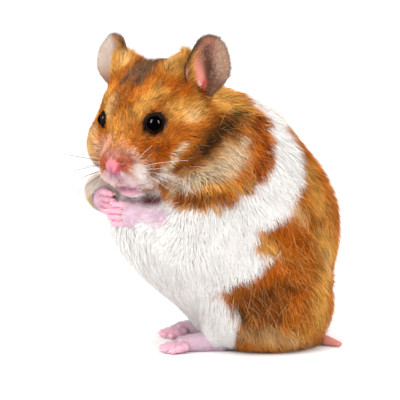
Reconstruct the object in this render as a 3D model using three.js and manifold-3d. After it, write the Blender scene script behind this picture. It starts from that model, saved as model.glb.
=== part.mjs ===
// Syrian hamster sitting up on its hind feet, head turned to its left, forepaws held under the chin.
// Millimetres. +Z is up, the animal faces -Y and its left side is +X. The floor is z = 0.
import * as THREE from 'three';
import { mergeVertices } from 'three/addons/utils/BufferGeometryUtils.js';
import Module from 'manifold-3d';

const wasm = await Module();
wasm.setup();

// ---------- driving sizes ----------
const GAP = 0.3;                       // clearance between neighbouring solids
const REACH = 140;                     // longest ray from a centre to the outline
const MARCH = 0.6;                     // step of the ray before the crossing is refined
const BISECTIONS = 14;
const PAST_CUT = { head: 9, neck: 3 };   // how far the head is made past the planes that trim it

const HEAD_TURN = { yaw: 46, pitch: 14, roll: 3.5 };  // degrees to its left, nose down, left side up
const BETWEEN_EYES = [14, -36.2, 74.4];               // origin of the head's own axes

const BODY_LUMPS = [
  { name: 'pelvis', centre: [0, 9, 12], radii: [24, 22.5, 16], tilt: 0, blend: 8 },
  { name: 'belly', centre: [0, -7, 33], radii: [26, 31.5, 24], tilt: -38, blend: 8 },
  { name: 'back', centre: [0, 9, 37.5], radii: [24.5, 24.8, 29.5], tilt: 0, blend: 8 },
  { name: 'chest', centre: [1, -15, 38.5], radii: [20, 26.5, 17], tilt: -6, blend: 8 },
  { name: 'shoulder', centre: [1, -3.5, 59], radii: [21, 24, 21.9], tilt: 0, blend: 8 },
];
const HAUNCH = { centre: [16, 7, 16.5], radii: [11.5, 18.5, 16.3], blend: 6 };
const HAUNCH_CUT = { centre: [23, 6, 14], radii: [13.5, 19, 18] };   // share of the outline that is haunch
const SHIN = { knee: [13, 1, 11.5], ankle: [12.5, -8.5, 4.6], kneeRadius: 8, ankleRadius: 3.8, blend: 6 };
const NECK = { base: [1, -10, 62], top: [-17, 0, -4], baseRadius: 19, topRadius: 17, blend: 8 };

// on the head's own axes: forwards, to its left, up
const THROAT = { centre: [-13, 3, -18], radii: [12, 13, 11], blend: 6 };
const CRANIUM = { centre: [-12.5, 0, -1.2], radii: [17, 16.3, 14.3], blend: 5 };
const CHEEK = { centre: [-6.5, 11.2, -9.7], radii: [11.5, 9.6, 10], blend: 5 };
const EAR_FUR = { centre: [-17.5, 10.9, 12], radii: [5.5, 4.3, 5.3], blend: 6 };
const WHISKER_PAD = { centre: [6.5, 4.2, -13.2], radii: [6, 5, 5.5], blend: 3 };
const MUZZLE = { base: [-3, 0, -4.5], tip: [8.8, 0, -9], baseRadius: 10, tipRadius: 4.8, blend: 5 };
const CHIN = { centre: [3, 0, -19], radii: [6.5, 6.2, 5], blend: 4 };
const NOSE = { centre: [12.2, 0, -10], radii: [2.6, 3.2, 2.7] };
const EYES = {
  left: { centre: [0, 9.6, -0.8], radius: 3.6 },
  right: { centre: [1.6, -8, 0.3], radius: 3.4 },
};
const EAR = {
  rim: 1.1,                            // shell left round the hollow
  hollow: 1.7,                         // how far forwards the hollow is moved
  depth: 3.2,                          // half the shell's depth
};
const EARS = {
  left: {
    centre: [-21.3, 17.4, 10.2],       // middle of the shell
    height: 11.1, width: 7,            // half of each
    facing: [0.761, 0.647, -0.038],    // way the hollow looks
    rising: [-0.297, 0.141, 0.9],      // way the ear's tip points
  },
  right: {
    centre: [-19.2, -15.4, 11],
    height: 10.6, width: 7.1,
    facing: [0.96, -0.18, 0.214],
    rising: [-0.45, 0.081, 0.9],
  },
};

const HEAD_CENTRE = [-9, 0, -6];                       // middle that the head is measured from
const HEAD_CUT = { point: [-16, 0, -4], normal: [0.85, 0, 0.53] };
const TRUNK_CENTRE = [0, 2, 38];                       // middle that the trunk is measured from
const NECK_CUT = { point: [0, -12, 60], normal: [0, -0.54, 0.84] };

const ARMS = {
  left: {
    shoulder: [16, -12, 52], elbow: [18, -22, 39], wrist: [14.2, -29.6, 43.4],
    shoulderRadius: 9, elbowRadius: 6.6, wristRadius: 3.1,
  },
  right: {
    shoulder: [-13, -20, 56], elbow: [-13.8, -40.4, 48.1], wrist: [-6.4, -41.8, 47.6],
    shoulderRadius: 8.5, elbowRadius: 6, wristRadius: 2.9,
  },
};
const FINGER_LEVELS = [3.0, 1.0, -1.0, -3.0];          // heights of the four fingers about the palm
const FINGER_LENGTHS = [0.75, 1.0, 1.0, 0.8];          // shares of the longest finger
const PAWS = {
  left: { palm: [12, -33.8, 44.2], radii: [3.2, 4.6, 4.1], knuckle: [11.4, -36, 44.4], reach: [-3.4, -5.6, -0.2] },
  right: { palm: [-2, -41.2, 47.6], radii: [4.0, 3.1, 3.9], knuckle: [0, -41.6, 47.6], reach: [3.9, -0.9, -0.2] },
};
const FINGER = { rootRadius: 1.45, tipRadius: 1.1, rootSpread: 0.9, tipSpread: 1.02 };

const FEET = {
  left: { heel: [12, -7, 3.2], ball: [12.5, -19, 2.3] },
  right: { heel: [-12, -3, 3.2], ball: [-12.5, -15, 2.3] },
};
const FOOT = { heelRadius: 3.4, ballRadius: 2.4 };
const TOE = { rootRadius: 1.45, tipRadius: 1.05, rootHeight: 2.0, tipHeight: 1.25, rootSpread: 0.8, tipSpread: 1.3 };
const TOE_OFFSETS = [-3.8, -2.0, 0, 2.0, 3.8];
const TOE_LENGTHS = [4.4, 6.2, 6.7, 6.1, 4.2];         // inner toe last on the left foot
const CLAW = { length: 1.1, rootRadius: 0.55, tipRadius: 0.3, sink: 0.3, droop: 0.35 };

const TAIL = { root: [6, 25, 3.4], tip: [12.5, 33.5, 1.3], rootRadius: 3.3, tipRadius: 1.4 };

const COLOURS = {
  coat: { color: 0xb9763a, roughness: 0.95, metalness: 0 },
  pale: { color: 0xefe9e0, roughness: 0.95, metalness: 0 },
  skin: { color: 0xe6a3a8, roughness: 0.65, metalness: 0 },
  ear: { color: 0x9a6f62, roughness: 0.8, metalness: 0 },
  eye: { color: 0x0a0a0e, roughness: 0.12, metalness: 0 },
};

// facets round and along each kind of solid
const FACETS = {
  trunk: [32, 19], head: [32, 22], haunch: [16, 10], ear: [14, 8], eye: [14, 8], nose: [12, 6],
  palm: [10, 7], limb: [10, 2], digit: [6, 2], claw: [5, 1], tail: [10, 2],
};

// ---------- vectors and the head's own axes ----------
const vec = (a) => new THREE.Vector3(a[0], a[1], a[2]);

/** Axes of the turned head: forwards, to its left, up. */
function headAxes({ yaw, pitch, roll }) {
  const turn = new THREE.Matrix4()
    .makeRotationZ(THREE.MathUtils.degToRad(yaw))
    .multiply(new THREE.Matrix4().makeRotationX(THREE.MathUtils.degToRad(pitch)))
    .multiply(new THREE.Matrix4().makeRotationY(THREE.MathUtils.degToRad(-roll)));
  return {
    forward: vec([0, -1, 0]).transformDirection(turn),
    left: vec([1, 0, 0]).transformDirection(turn),
    up: vec([0, 0, 1]).transformDirection(turn),
  };
}
const AXES = headAxes(HEAD_TURN);

/** Direction given on the head's axes, in the part's frame. */
function headDirection([forward, left, up]) {
  return new THREE.Vector3()
    .addScaledVector(AXES.forward, forward)
    .addScaledVector(AXES.left, left)
    .addScaledVector(AXES.up, up);
}
const headPoint = (a) => headDirection(a).add(vec(BETWEEN_EYES));
const mirrored = ([x, y, z], side) => [x * side, y, z];
const headMirrored = ([forward, left, up], side) => [forward, left * side, up];

// ---------- the outline as a blended field ----------
/** Ellipsoid term: centre, half axes and the three directions they lie along. */
function ellipsoidTerm(centre, radii, directions, blend) {
  const [rx, ry, rz] = radii;
  const offset = new THREE.Vector3();
  return {
    blend,
    distance(point) {
      offset.subVectors(point, centre);
      const a = offset.dot(directions[0]);
      const b = offset.dot(directions[1]);
      const c = offset.dot(directions[2]);
      const near = Math.hypot(a / rx, b / ry, c / rz);
      const steep = Math.hypot(a / (rx * rx), b / (ry * ry), c / (rz * rz));
      return (near * (near - 1)) / Math.max(steep, 1e-9);
    },
  };
}

/** Round cone term between two points with a radius at each end. */
function coneTerm(start, end, startRadius, endRadius, blend) {
  const axis = new THREE.Vector3().subVectors(end, start);
  const squared = axis.lengthSq();
  const offset = new THREE.Vector3();
  return {
    blend,
    distance(point) {
      offset.subVectors(point, start);
      const share = THREE.MathUtils.clamp(offset.dot(axis) / squared, 0, 1);
      offset.addScaledVector(axis, -share);
      return offset.length() - THREE.MathUtils.lerp(startRadius, endRadius, share);
    },
  };
}

/** Directions of a body lump tipped about X by an angle in degrees. */
function tiltedAxes(degrees) {
  const angle = THREE.MathUtils.degToRad(degrees);
  return [
    vec([1, 0, 0]),
    vec([0, Math.cos(angle), Math.sin(angle)]),
    vec([0, -Math.sin(angle), Math.cos(angle)]),
  ];
}
const HEAD_DIRECTIONS = [AXES.forward, AXES.left, AXES.up];

function outlineTerms() {
  const terms = BODY_LUMPS.map((lump) =>
    ellipsoidTerm(vec(lump.centre), lump.radii, tiltedAxes(lump.tilt), lump.blend));
  for (const side of [1, -1]) {
    terms.push(ellipsoidTerm(vec(mirrored(HAUNCH.centre, side)), HAUNCH.radii, tiltedAxes(0), HAUNCH.blend));
    terms.push(coneTerm(vec(mirrored(SHIN.knee, side)), vec(mirrored(SHIN.ankle, side)),
      SHIN.kneeRadius, SHIN.ankleRadius, SHIN.blend));
  }
  terms.push(coneTerm(vec(NECK.base), headPoint(NECK.top), NECK.baseRadius, NECK.topRadius, NECK.blend));
  for (const lump of [THROAT, CRANIUM]) {
    terms.push(ellipsoidTerm(headPoint(lump.centre), lump.radii, HEAD_DIRECTIONS, lump.blend));
  }
  for (const side of [1, -1]) {
    for (const lump of [CHEEK, WHISKER_PAD, EAR_FUR]) {
      terms.push(ellipsoidTerm(headPoint(headMirrored(lump.centre, side)), lump.radii, HEAD_DIRECTIONS, lump.blend));
    }
  }
  terms.push(coneTerm(headPoint(MUZZLE.base), headPoint(MUZZLE.tip), MUZZLE.baseRadius, MUZZLE.tipRadius, MUZZLE.blend));
  terms.push(ellipsoidTerm(headPoint(CHIN.centre), CHIN.radii, HEAD_DIRECTIONS, CHIN.blend));
  return terms;
}
const TERMS = outlineTerms();

/** Blended distance from the outline: negative inside. */
function outline(point) {
  let value = Infinity;
  for (const term of TERMS) {
    const next = term.distance(point);
    if (value === Infinity) {
      value = next;
      continue;
    }
    const overlap = Math.max(term.blend - Math.abs(value - next), 0) / term.blend;
    value = Math.min(value, next) - overlap * overlap * term.blend * 0.25;
  }
  return value;
}

/** Distance along a ray from a centre to the first place where the outline passes a level, or just past a cut. */
function reachOutline(centre, direction, level, cuts) {
  const point = new THREE.Vector3();
  const offset = new THREE.Vector3();
  const at = (length) => outline(point.copy(centre).addScaledVector(direction, length)) - level;
  let inside = 0;
  while (inside < REACH && at(inside + MARCH) < 0) inside += MARCH;
  let outside = inside + MARCH;
  for (let i = 0; i < BISECTIONS; i += 1) {
    const middle = (inside + outside) / 2;
    if (at(middle) < 0) inside = middle;
    else outside = middle;
  }
  for (const { point: onCut, normal, past } of cuts) {
    const approach = direction.dot(normal);
    if (approach >= 0) continue;
    const toCut = (offset.subVectors(onCut, centre).dot(normal) - past) / approach;
    inside = Math.min(inside, toCut);
  }
  return inside;
}

// ---------- solids ----------
/** Closed manifold made of a three.js geometry. */
function solid(geometry) {
  const bare = geometry.clone();
  bare.deleteAttribute('normal');
  bare.deleteAttribute('uv');
  const merged = mergeVertices(bare, 1e-4);
  const index = merged.index.array;
  const position = merged.attributes.position.array;
  const triangles = [];
  for (let i = 0; i < index.length; i += 3) {
    const [a, b, c] = [index[i], index[i + 1], index[i + 2]];
    if (a !== b && b !== c && c !== a) triangles.push(a, b, c);
  }
  return new wasm.Manifold(new wasm.Mesh({
    numProp: 3, vertProperties: new Float32Array(position), triVerts: new Uint32Array(triangles),
  }));
}

/** Sphere whose points are moved along their rays to the outline, at a level outside it. */
function outlineSolid(centre, [around, along], level = 0, cuts = []) {
  const geometry = new THREE.SphereGeometry(1, around, along);
  geometry.rotateX(Math.PI / 2);
  const position = geometry.attributes.position;
  const direction = new THREE.Vector3();
  for (let i = 0; i < position.count; i += 1) {
    direction.fromBufferAttribute(position, i).normalize();
    const length = reachOutline(centre, direction, level, cuts);
    position.setXYZ(i, centre.x + direction.x * length, centre.y + direction.y * length,
      centre.z + direction.z * length);
  }
  return solid(geometry);
}

/** Ellipsoid with half axes along three directions. */
function ellipsoidSolid(centre, radii, directions, [around, along], grown = 0) {
  const geometry = new THREE.SphereGeometry(1, around, along);
  geometry.scale(radii[0] + grown, radii[1] + grown, radii[2] + grown);
  const basis = new THREE.Matrix4().makeBasis(directions[0], directions[1], directions[2]);
  basis.setPosition(centre);
  geometry.applyMatrix4(basis);
  return solid(geometry);
}

/** Turned solid between two points: a ball at each end and the cone that joins them. */
function roundCone(start, end, startRadius, endRadius, [around, rings], grown = 0) {
  const axis = new THREE.Vector3().subVectors(end, start);
  const length = axis.length();
  const a = startRadius + grown;
  const b = endRadius + grown;
  const lean = Math.asin(THREE.MathUtils.clamp((a - b) / length, -0.99, 0.99));
  const profile = [];
  for (let i = 0; i <= rings; i += 1) {
    const angle = THREE.MathUtils.lerp(-Math.PI / 2, lean, i / rings);
    profile.push(new THREE.Vector2(i === 0 ? 0 : a * Math.cos(angle), a * Math.sin(angle)));
  }
  for (let i = 0; i <= rings; i += 1) {
    const angle = THREE.MathUtils.lerp(lean, Math.PI / 2, i / rings);
    profile.push(new THREE.Vector2(i === rings ? 0 : b * Math.cos(angle), length + b * Math.sin(angle)));
  }
  const geometry = new THREE.LatheGeometry(profile, around);
  geometry.applyQuaternion(new THREE.Quaternion().setFromUnitVectors(vec([0, 1, 0]), axis.normalize()));
  geometry.translate(start.x, start.y, start.z);
  return solid(geometry);
}

/** Large block whose bottom face lies on a plane and which fills the side the normal points to. */
function halfSpace(point, normal, shift = 0) {
  const size = 400;
  const geometry = new THREE.BoxGeometry(size, size, size);
  geometry.translate(0, size / 2 + shift, 0);
  const up = normal.clone().normalize();
  geometry.applyQuaternion(new THREE.Quaternion().setFromUnitVectors(vec([0, 1, 0]), up));
  geometry.translate(point.x, point.y, point.z);
  return solid(geometry);
}

const joined = (solids) => solids.reduce((whole, next) => whole.add(next));
const cutBy = (whole, cutters) => cutters.reduce((rest, cutter) => rest.subtract(cutter), whole);

/** Largest of the bodies that a cut leaves. */
function mainBody(whole) {
  const bodies = whole.decompose();
  return bodies.reduce((largest, body) => (body.volume() > largest.volume() ? body : largest));
}

const ABOVE_FLOOR = halfSpace(vec([0, 0, 0]), vec([0, 0, 1]));
const WORLD = tiltedAxes(0);

/** Claw that leaves the end of a digit. */
function claw(root, tip, tipRadius, grown) {
  const along = new THREE.Vector3().subVectors(tip, root).normalize();
  const start = tip.clone().addScaledVector(along, tipRadius - CLAW.sink);
  const end = start.clone().addScaledVector(along, CLAW.length);
  end.z -= CLAW.droop;
  return roundCone(start, end, CLAW.rootRadius, CLAW.tipRadius, FACETS.claw, grown);
}

/** Room that a paw takes from its neighbours: its palm and one block round the fingers. */
function pawRoom(paw) {
  const tip = vec(paw.knuckle).add(vec(paw.reach));
  const middle = vec(paw.knuckle).add(tip).multiplyScalar(0.5);
  const along = new THREE.Vector3().subVectors(tip, vec(paw.knuckle));
  const half = along.length() / 2 + FINGER.rootRadius;
  const upwards = vec([0, 0, 1]);
  const forwards = along.setZ(0).normalize();
  const across = new THREE.Vector3().crossVectors(upwards, forwards);
  const tall = FINGER_LEVELS[0] + FINGER.rootRadius + GAP;
  const fingers = ellipsoidSolid(middle, [half * 1.15, FINGER.rootRadius * 1.5, tall * 1.15],
    [forwards, across, upwards], FACETS.palm, GAP);
  return ellipsoidSolid(vec(paw.palm), paw.radii, WORLD, FACETS.palm, GAP).add(fingers);
}

function pawSolid(paw, grown = 0) {
  const pieces = [ellipsoidSolid(vec(paw.palm), paw.radii, WORLD, FACETS.palm, grown)];
  FINGER_LEVELS.forEach((level, i) => {
    const root = vec(paw.knuckle);
    root.z += level * FINGER.rootSpread;
    const tip = vec(paw.knuckle).addScaledVector(vec(paw.reach), FINGER_LENGTHS[i]);
    tip.z += level * FINGER.tipSpread;
    pieces.push(roundCone(root, tip, FINGER.rootRadius, FINGER.tipRadius, FACETS.digit, grown));
    pieces.push(claw(root, tip, FINGER.tipRadius, grown));
  });
  return joined(pieces);
}

function armSolid(arm, grown = 0) {
  return joined([
    roundCone(vec(arm.shoulder), vec(arm.elbow), arm.shoulderRadius, arm.elbowRadius, FACETS.limb, grown),
    roundCone(vec(arm.elbow), vec(arm.wrist), arm.elbowRadius, arm.wristRadius, FACETS.limb, grown),
  ]);
}

function footSolid(foot, side, grown = 0) {
  const pieces = [roundCone(vec(foot.heel), vec(foot.ball), FOOT.heelRadius, FOOT.ballRadius, FACETS.limb, grown)];
  TOE_OFFSETS.forEach((offset, i) => {
    const root = vec(foot.ball);
    root.x += offset * TOE.rootSpread * side;
    root.z = TOE.rootHeight;
    const tip = vec(foot.ball);
    tip.x += offset * TOE.tipSpread * side;
    tip.y -= TOE_LENGTHS[i];
    tip.z = TOE.tipHeight;
    pieces.push(roundCone(root, tip, TOE.rootRadius, TOE.tipRadius, FACETS.digit, grown));
    pieces.push(claw(root, tip, TOE.tipRadius, grown));
  });
  return joined(pieces);
}

function earSolid(ear) {
  const centre = headPoint(ear.centre);
  const facing = headDirection(ear.facing).normalize();
  const rising = headDirection(ear.rising);
  rising.addScaledVector(facing, -rising.dot(facing)).normalize();
  const across = new THREE.Vector3().crossVectors(facing, rising);
  const directions = [rising, across, facing];
  const shell = ellipsoidSolid(centre, [ear.height, ear.width, EAR.depth], directions, FACETS.ear);
  const hollow = ellipsoidSolid(centre.clone().addScaledVector(facing, EAR.hollow),
    [ear.height - EAR.rim, ear.width - EAR.rim, EAR.depth], directions, FACETS.ear);
  return shell.subtract(hollow);
}

// ---------- pieces of the animal ----------
const headMiddle = headPoint(HEAD_CENTRE);
const trunkMiddle = vec(TRUNK_CENTRE);
const headCutPoint = headPoint(HEAD_CUT.point);
const headCutNormal = headDirection(HEAD_CUT.normal).normalize();
const neckCutPoint = vec(NECK_CUT.point);
const neckCutNormal = vec(NECK_CUT.normal).normalize();
const backwards = (v) => v.clone().negate();

const headCuts = [
  { point: headCutPoint, normal: headCutNormal, past: PAST_CUT.head },
  { point: neckCutPoint, normal: neckCutNormal, past: PAST_CUT.neck },
];
const wholeHead = outlineSolid(headMiddle, FACETS.head, 0, headCuts);
const wholeBody = outlineSolid(trunkMiddle, FACETS.trunk);
const headRoom = outlineSolid(headMiddle, FACETS.head, GAP);
const bodyRoom = outlineSolid(trunkMiddle, FACETS.trunk, GAP);

const pieces = {};
const rooms = { eye: [], paw: [], closePaw: [], arm: [], foot: [], haunch: [] };
for (const [name, side] of [['left', 1], ['right', -1]]) {
  const eyeCentre = headPoint(EYES[name].centre);
  const eyeRadii = new Array(3).fill(EYES[name].radius);
  pieces[`eye_${name}`] = ellipsoidSolid(eyeCentre, eyeRadii, HEAD_DIRECTIONS, FACETS.eye);
  rooms.eye.push(ellipsoidSolid(eyeCentre, eyeRadii, HEAD_DIRECTIONS, FACETS.eye, GAP));
  pieces[`ear_${name}`] = cutBy(earSolid(EARS[name]), [headRoom, bodyRoom]);

  pieces[`forepaw_${name}`] = pawSolid(PAWS[name]);
  rooms.paw.push(pawRoom(PAWS[name]));
  rooms.closePaw.push(pawSolid(PAWS[name], GAP));
  pieces[`arm_${name}`] = armSolid(ARMS[name]);
  rooms.arm.push(armSolid(ARMS[name], GAP));

  pieces[`hind_foot_${name}`] = footSolid(FEET[name], side).intersect(ABOVE_FLOOR);
  rooms.foot.push(roundCone(vec(FEET[name].heel), vec(FEET[name].ball), FOOT.heelRadius, FOOT.ballRadius,
    FACETS.limb, GAP));
  const haunchCentre = vec(mirrored(HAUNCH_CUT.centre, side));
  pieces[`haunch_${name}`] = ellipsoidSolid(haunchCentre, HAUNCH_CUT.radii, WORLD, FACETS.haunch)
    .intersect(wholeBody).intersect(ABOVE_FLOOR);
  rooms.haunch.push(ellipsoidSolid(haunchCentre, HAUNCH_CUT.radii, WORLD, FACETS.haunch, GAP));
}
for (const name of ['left', 'right']) {
  pieces[`arm_${name}`] = cutBy(pieces[`arm_${name}`], [...rooms.paw]);
  pieces[`haunch_${name}`] = cutBy(pieces[`haunch_${name}`], [...rooms.foot]);
}
const noseCentre = headPoint(NOSE.centre);
pieces.nose = ellipsoidSolid(noseCentre, NOSE.radii, HEAD_DIRECTIONS, FACETS.nose);
const noseRoom = ellipsoidSolid(noseCentre, NOSE.radii, HEAD_DIRECTIONS, FACETS.nose, GAP);

const beforeHeadCut = halfSpace(headCutPoint, headCutNormal, GAP / 2);
const behindHeadCut = halfSpace(headCutPoint, backwards(headCutNormal), GAP / 2);
const aboveNeckCut = halfSpace(neckCutPoint, neckCutNormal, GAP / 2);
const belowNeckCut = halfSpace(neckCutPoint, backwards(neckCutNormal), GAP / 2);

pieces.head = cutBy(wholeHead.intersect(beforeHeadCut).intersect(aboveNeckCut),
  [...rooms.eye, noseRoom, ...rooms.arm, ...rooms.closePaw]);
pieces.neck = cutBy(wholeBody.intersect(behindHeadCut).intersect(aboveNeckCut), [...rooms.arm, ...rooms.paw]);
pieces.trunk = cutBy(wholeBody.intersect(belowNeckCut).intersect(ABOVE_FLOOR),
  [...rooms.haunch, ...rooms.arm, ...rooms.paw, ...rooms.foot]);
pieces.tail = roundCone(vec(TAIL.root), vec(TAIL.tip), TAIL.rootRadius, TAIL.tipRadius, FACETS.tail)
  .intersect(ABOVE_FLOOR).subtract(bodyRoom);

// ---------- named meshes ----------
const FINISH = {
  trunk: 'coat', neck: 'coat', head: 'coat', nose: 'skin', tail: 'skin',
  haunch_left: 'coat', haunch_right: 'coat', arm_left: 'pale', arm_right: 'pale',
  hind_foot_left: 'skin', hind_foot_right: 'skin', forepaw_left: 'skin', forepaw_right: 'skin',
  ear_left: 'ear', ear_right: 'ear', eye_left: 'eye', eye_right: 'eye',
};

/** Named mesh with its own material from a closed manifold. */
function namedMesh(name, whole, finish) {
  const mesh = whole.getMesh();
  const geometry = new THREE.BufferGeometry();
  const count = mesh.vertProperties.length / mesh.numProp;
  const position = new Float32Array(count * 3);
  for (let i = 0; i < count; i += 1) {
    for (let k = 0; k < 3; k += 1) position[i * 3 + k] = mesh.vertProperties[i * mesh.numProp + k];
  }
  geometry.setAttribute('position', new THREE.BufferAttribute(position, 3));
  geometry.setIndex(new THREE.BufferAttribute(new Uint32Array(mesh.triVerts), 1));
  geometry.computeVertexNormals();
  const result = new THREE.Mesh(geometry, new THREE.MeshStandardMaterial(finish));
  result.name = name;
  return result;
}

const group = new THREE.Group();
group.name = 'syrian_hamster';
for (const [name, finish] of Object.entries(FINISH)) {
  group.add(namedMesh(name, mainBody(pieces[name]), COLOURS[finish]));
}

export default group;
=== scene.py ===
"""The looks of a sitting golden hamster: skin, coat, eyes, ears, whiskers and claws.

Every shape is worked out in millimetres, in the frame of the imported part, and
written to Blender in metres.
"""

import itertools
import logging
import math
from dataclasses import dataclass, field
from enum import Enum
from functools import cached_property
from typing import Callable

import bpy
import numpy as np
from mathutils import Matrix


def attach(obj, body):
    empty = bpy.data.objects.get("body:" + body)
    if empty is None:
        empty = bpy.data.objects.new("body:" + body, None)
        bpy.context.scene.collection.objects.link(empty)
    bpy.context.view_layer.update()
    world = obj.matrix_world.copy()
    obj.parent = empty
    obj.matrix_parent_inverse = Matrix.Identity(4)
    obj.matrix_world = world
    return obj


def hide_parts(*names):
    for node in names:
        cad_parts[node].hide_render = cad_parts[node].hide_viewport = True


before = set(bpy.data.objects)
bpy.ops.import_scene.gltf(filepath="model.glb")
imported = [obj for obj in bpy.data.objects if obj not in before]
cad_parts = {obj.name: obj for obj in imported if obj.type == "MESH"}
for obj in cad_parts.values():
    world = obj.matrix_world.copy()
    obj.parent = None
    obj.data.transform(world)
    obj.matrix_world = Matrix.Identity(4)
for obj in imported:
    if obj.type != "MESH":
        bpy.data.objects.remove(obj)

import openvdb
from mathutils import Matrix, Vector

Array = np.ndarray
Point = tuple[float, float, float]
Colour = tuple[float, float, float]

LOG = logging.getLogger("hamster")
MM = 0.001
TINY = 1e-9
ROOT_BODY = "root"


# --- small helpers


def unit(vectors: Array) -> Array:
    """Returns the vectors at length 1."""
    length = np.linalg.norm(vectors, axis=-1, keepdims=True)
    return vectors / np.maximum(length, TINY)


def ramp(values: Array, low: float, high: float) -> Array:
    """Returns a smooth step: 0 up to low, 1 from high on."""
    share = np.clip((values - low) / (high - low), 0.0, 1.0)
    return share * share * (3.0 - 2.0 * share)


def near(distance: Array, full: float, none: float) -> Array:
    """Returns 1 up to the distance full, and 0 from the distance none on."""
    return ramp(-distance, -none, -full)


WHITE_FADE = (0.2, 0.6)


def whiteness(colours: Array) -> Array:
    """Returns 1 for each row of colours that is white, and 0 for one that is not."""
    return ramp(colours.min(axis=1), *WHITE_FADE)[:, None]


def mix(first: Array, second: Array, share: Array) -> Array:
    """Returns first at share 0 and second at share 1."""
    return first + (second - first) * share


def tint(colours: Array, shade: Array, share: Array) -> Array:
    """Returns rows of colours drawn to one shade, each by its own share."""
    return mix(colours, shade, share[:, None])


def dot(first: Array, second: Array) -> Array:
    """Returns the dot product along the last axis, which is kept."""
    return np.sum(first * second, axis=-1, keepdims=True)


def across(vectors: Array, normals: Array) -> Array:
    """Returns the vectors laid flat on the surface with these normals, at length 1."""
    return unit(vectors - dot(vectors, normals) * normals)


def linear(red: float, green: float, blue: float) -> Array:
    """Returns the linear colour of a screen colour given from 0 to 255, by the sRGB curve."""
    screen = np.array([red, green, blue]) / 255.0
    return np.where(screen <= 0.04045, screen / 12.92, ((screen + 0.055) / 1.055) ** 2.4)


HASH_WEIGHTS = (12.9898, 78.233, 37.719)
HASH_SALT = 4.1414
HASH_SCALE = 43758.5453


def hashed(cells: Array, salt: int) -> Array:
    """Returns a steady random number from 0 to 1 for each row of whole numbers.

    The row is dotted with three weights, and the sine of the sum, times a large
    number, keeps its fraction.

    Args:
        cells: rows of three whole numbers.
        salt: tells one noise from another.

    Returns:
        One number for each row.
    """
    mixed = cells @ np.array(HASH_WEIGHTS) + salt * HASH_SALT
    return np.modf(np.abs(np.sin(mixed) * HASH_SCALE))[0]


def value_noise(points: Array, size: float, salt: int) -> Array:
    """Returns smooth noise from -1 to 1 whose lumps are about size across.

    The eight corners of each cubic cell have hashed values, blended by smooth steps.

    Args:
        points: rows of places in mm.
        size: a cell's side in mm.
        salt: tells one noise from another.

    Returns:
        One value for each point.
    """
    scaled = points / size
    base = np.floor(scaled)
    share = ramp(scaled - base, 0.0, 1.0)
    total = np.zeros(len(points))
    for corner in range(8):
        offset = np.array([corner & 1, (corner >> 1) & 1, (corner >> 2) & 1], float)
        weight = np.prod(np.where(offset > 0, share, 1.0 - share), axis=1)
        total += weight * hashed(base + offset, salt)
    return 2.0 * total - 1.0


def noise_vectors(points: Array, size: float, salts: Point) -> Array:
    """Returns three smooth noises for each point, as the parts of a vector."""
    return np.stack([value_noise(points, size, salt) for salt in salts], axis=1)


# --- the outline


@dataclass(frozen=True)
class HeadAxes:
    """The head's own directions: forward, left and up, from between the eyes."""

    yaw: float = 46.0
    pitch: float = 14.0
    roll: float = 3.5
    origin: Point = (14.0, -36.2, 74.4)

    @cached_property
    def matrix(self) -> Array:
        """The three directions as rows, in the row frame."""
        yaw, pitch, roll = (math.radians(a) for a in (self.yaw, self.pitch, -self.roll))
        turn = (
            Matrix.Rotation(yaw, 3, "Z")
            @ Matrix.Rotation(pitch, 3, "X")
            @ Matrix.Rotation(roll, 3, "Y")
        )
        ahead, left, up = Vector((0, -1, 0)), Vector((1, 0, 0)), Vector((0, 0, 1))
        return np.array([turn @ ahead, turn @ left, turn @ up], float)

    def at(self, points: Array) -> Array:
        """Returns points given in head axes, in the row frame."""
        return np.asarray(self.origin) + np.asarray(points, float) @ self.matrix

    def local(self, points: Array) -> Array:
        """Returns points of the row frame in head axes."""
        return (points - np.asarray(self.origin)) @ self.matrix.T

    def turn(self, vectors: Array) -> Array:
        """Returns directions given in head axes, in the row frame."""
        return np.asarray(vectors, float) @ self.matrix


HEAD = HeadAxes()
WORLD_AXES = np.eye(3)


@dataclass(frozen=True)
class Ellipsoid:
    """A lump with three radii, and how far it melts into what is there before it."""

    centre: Point
    radii: Point
    blend: float = 4.0
    axes: Array = field(default_factory=lambda: WORLD_AXES)

    def distance(self, points: Array) -> Array:
        """Returns about how far each point is outside the lump.

        With q the place over the radii, and s the place over their squares, the
        distance is about |q| (|q| - 1) / |s|.
        """
        radii = np.asarray(self.radii, float)
        turned = (points - self.centre) @ self.axes.T
        first = np.sqrt(np.sum((turned / radii) ** 2, axis=-1))
        second = np.sqrt(np.sum((turned / radii**2) ** 2, axis=-1))
        return first * (first - 1.0) / np.maximum(second, TINY)


def head_lump(centre: Point, radii: Point, blend: float = 4.0) -> Ellipsoid:
    """Returns a lump whose centre and radii are along the head's own axes."""
    return Ellipsoid(HEAD.at(centre), radii, blend, HEAD.matrix)


@dataclass(frozen=True)
class RoundCone:
    """A limb between two points, with a radius at each."""

    start: Point
    end: Point
    start_radius: float
    end_radius: float
    blend: float = 4.0

    def distance(self, points: Array) -> Array:
        """Returns about how far each point is outside the limb: from the axis, less the radius."""
        start = np.asarray(self.start, float)
        along = np.asarray(self.end, float) - start
        share = np.clip((points - start) @ along / (along @ along), 0.0, 1.0)
        nearest = start + share[..., None] * along
        radius = self.start_radius + (self.end_radius - self.start_radius) * share
        return np.linalg.norm(points - nearest, axis=-1) - radius


def melted(first: Array, second: Array, blend: float) -> Array:
    """Returns the smaller distance, rounded where the two are closer than blend.

    With h the share of blend by which they are closer, blend h h / 4 is taken off.
    """
    overlap = np.maximum(blend - np.abs(first - second), 0.0) / blend
    return np.minimum(first, second) - overlap * overlap * blend * 0.25


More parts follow.
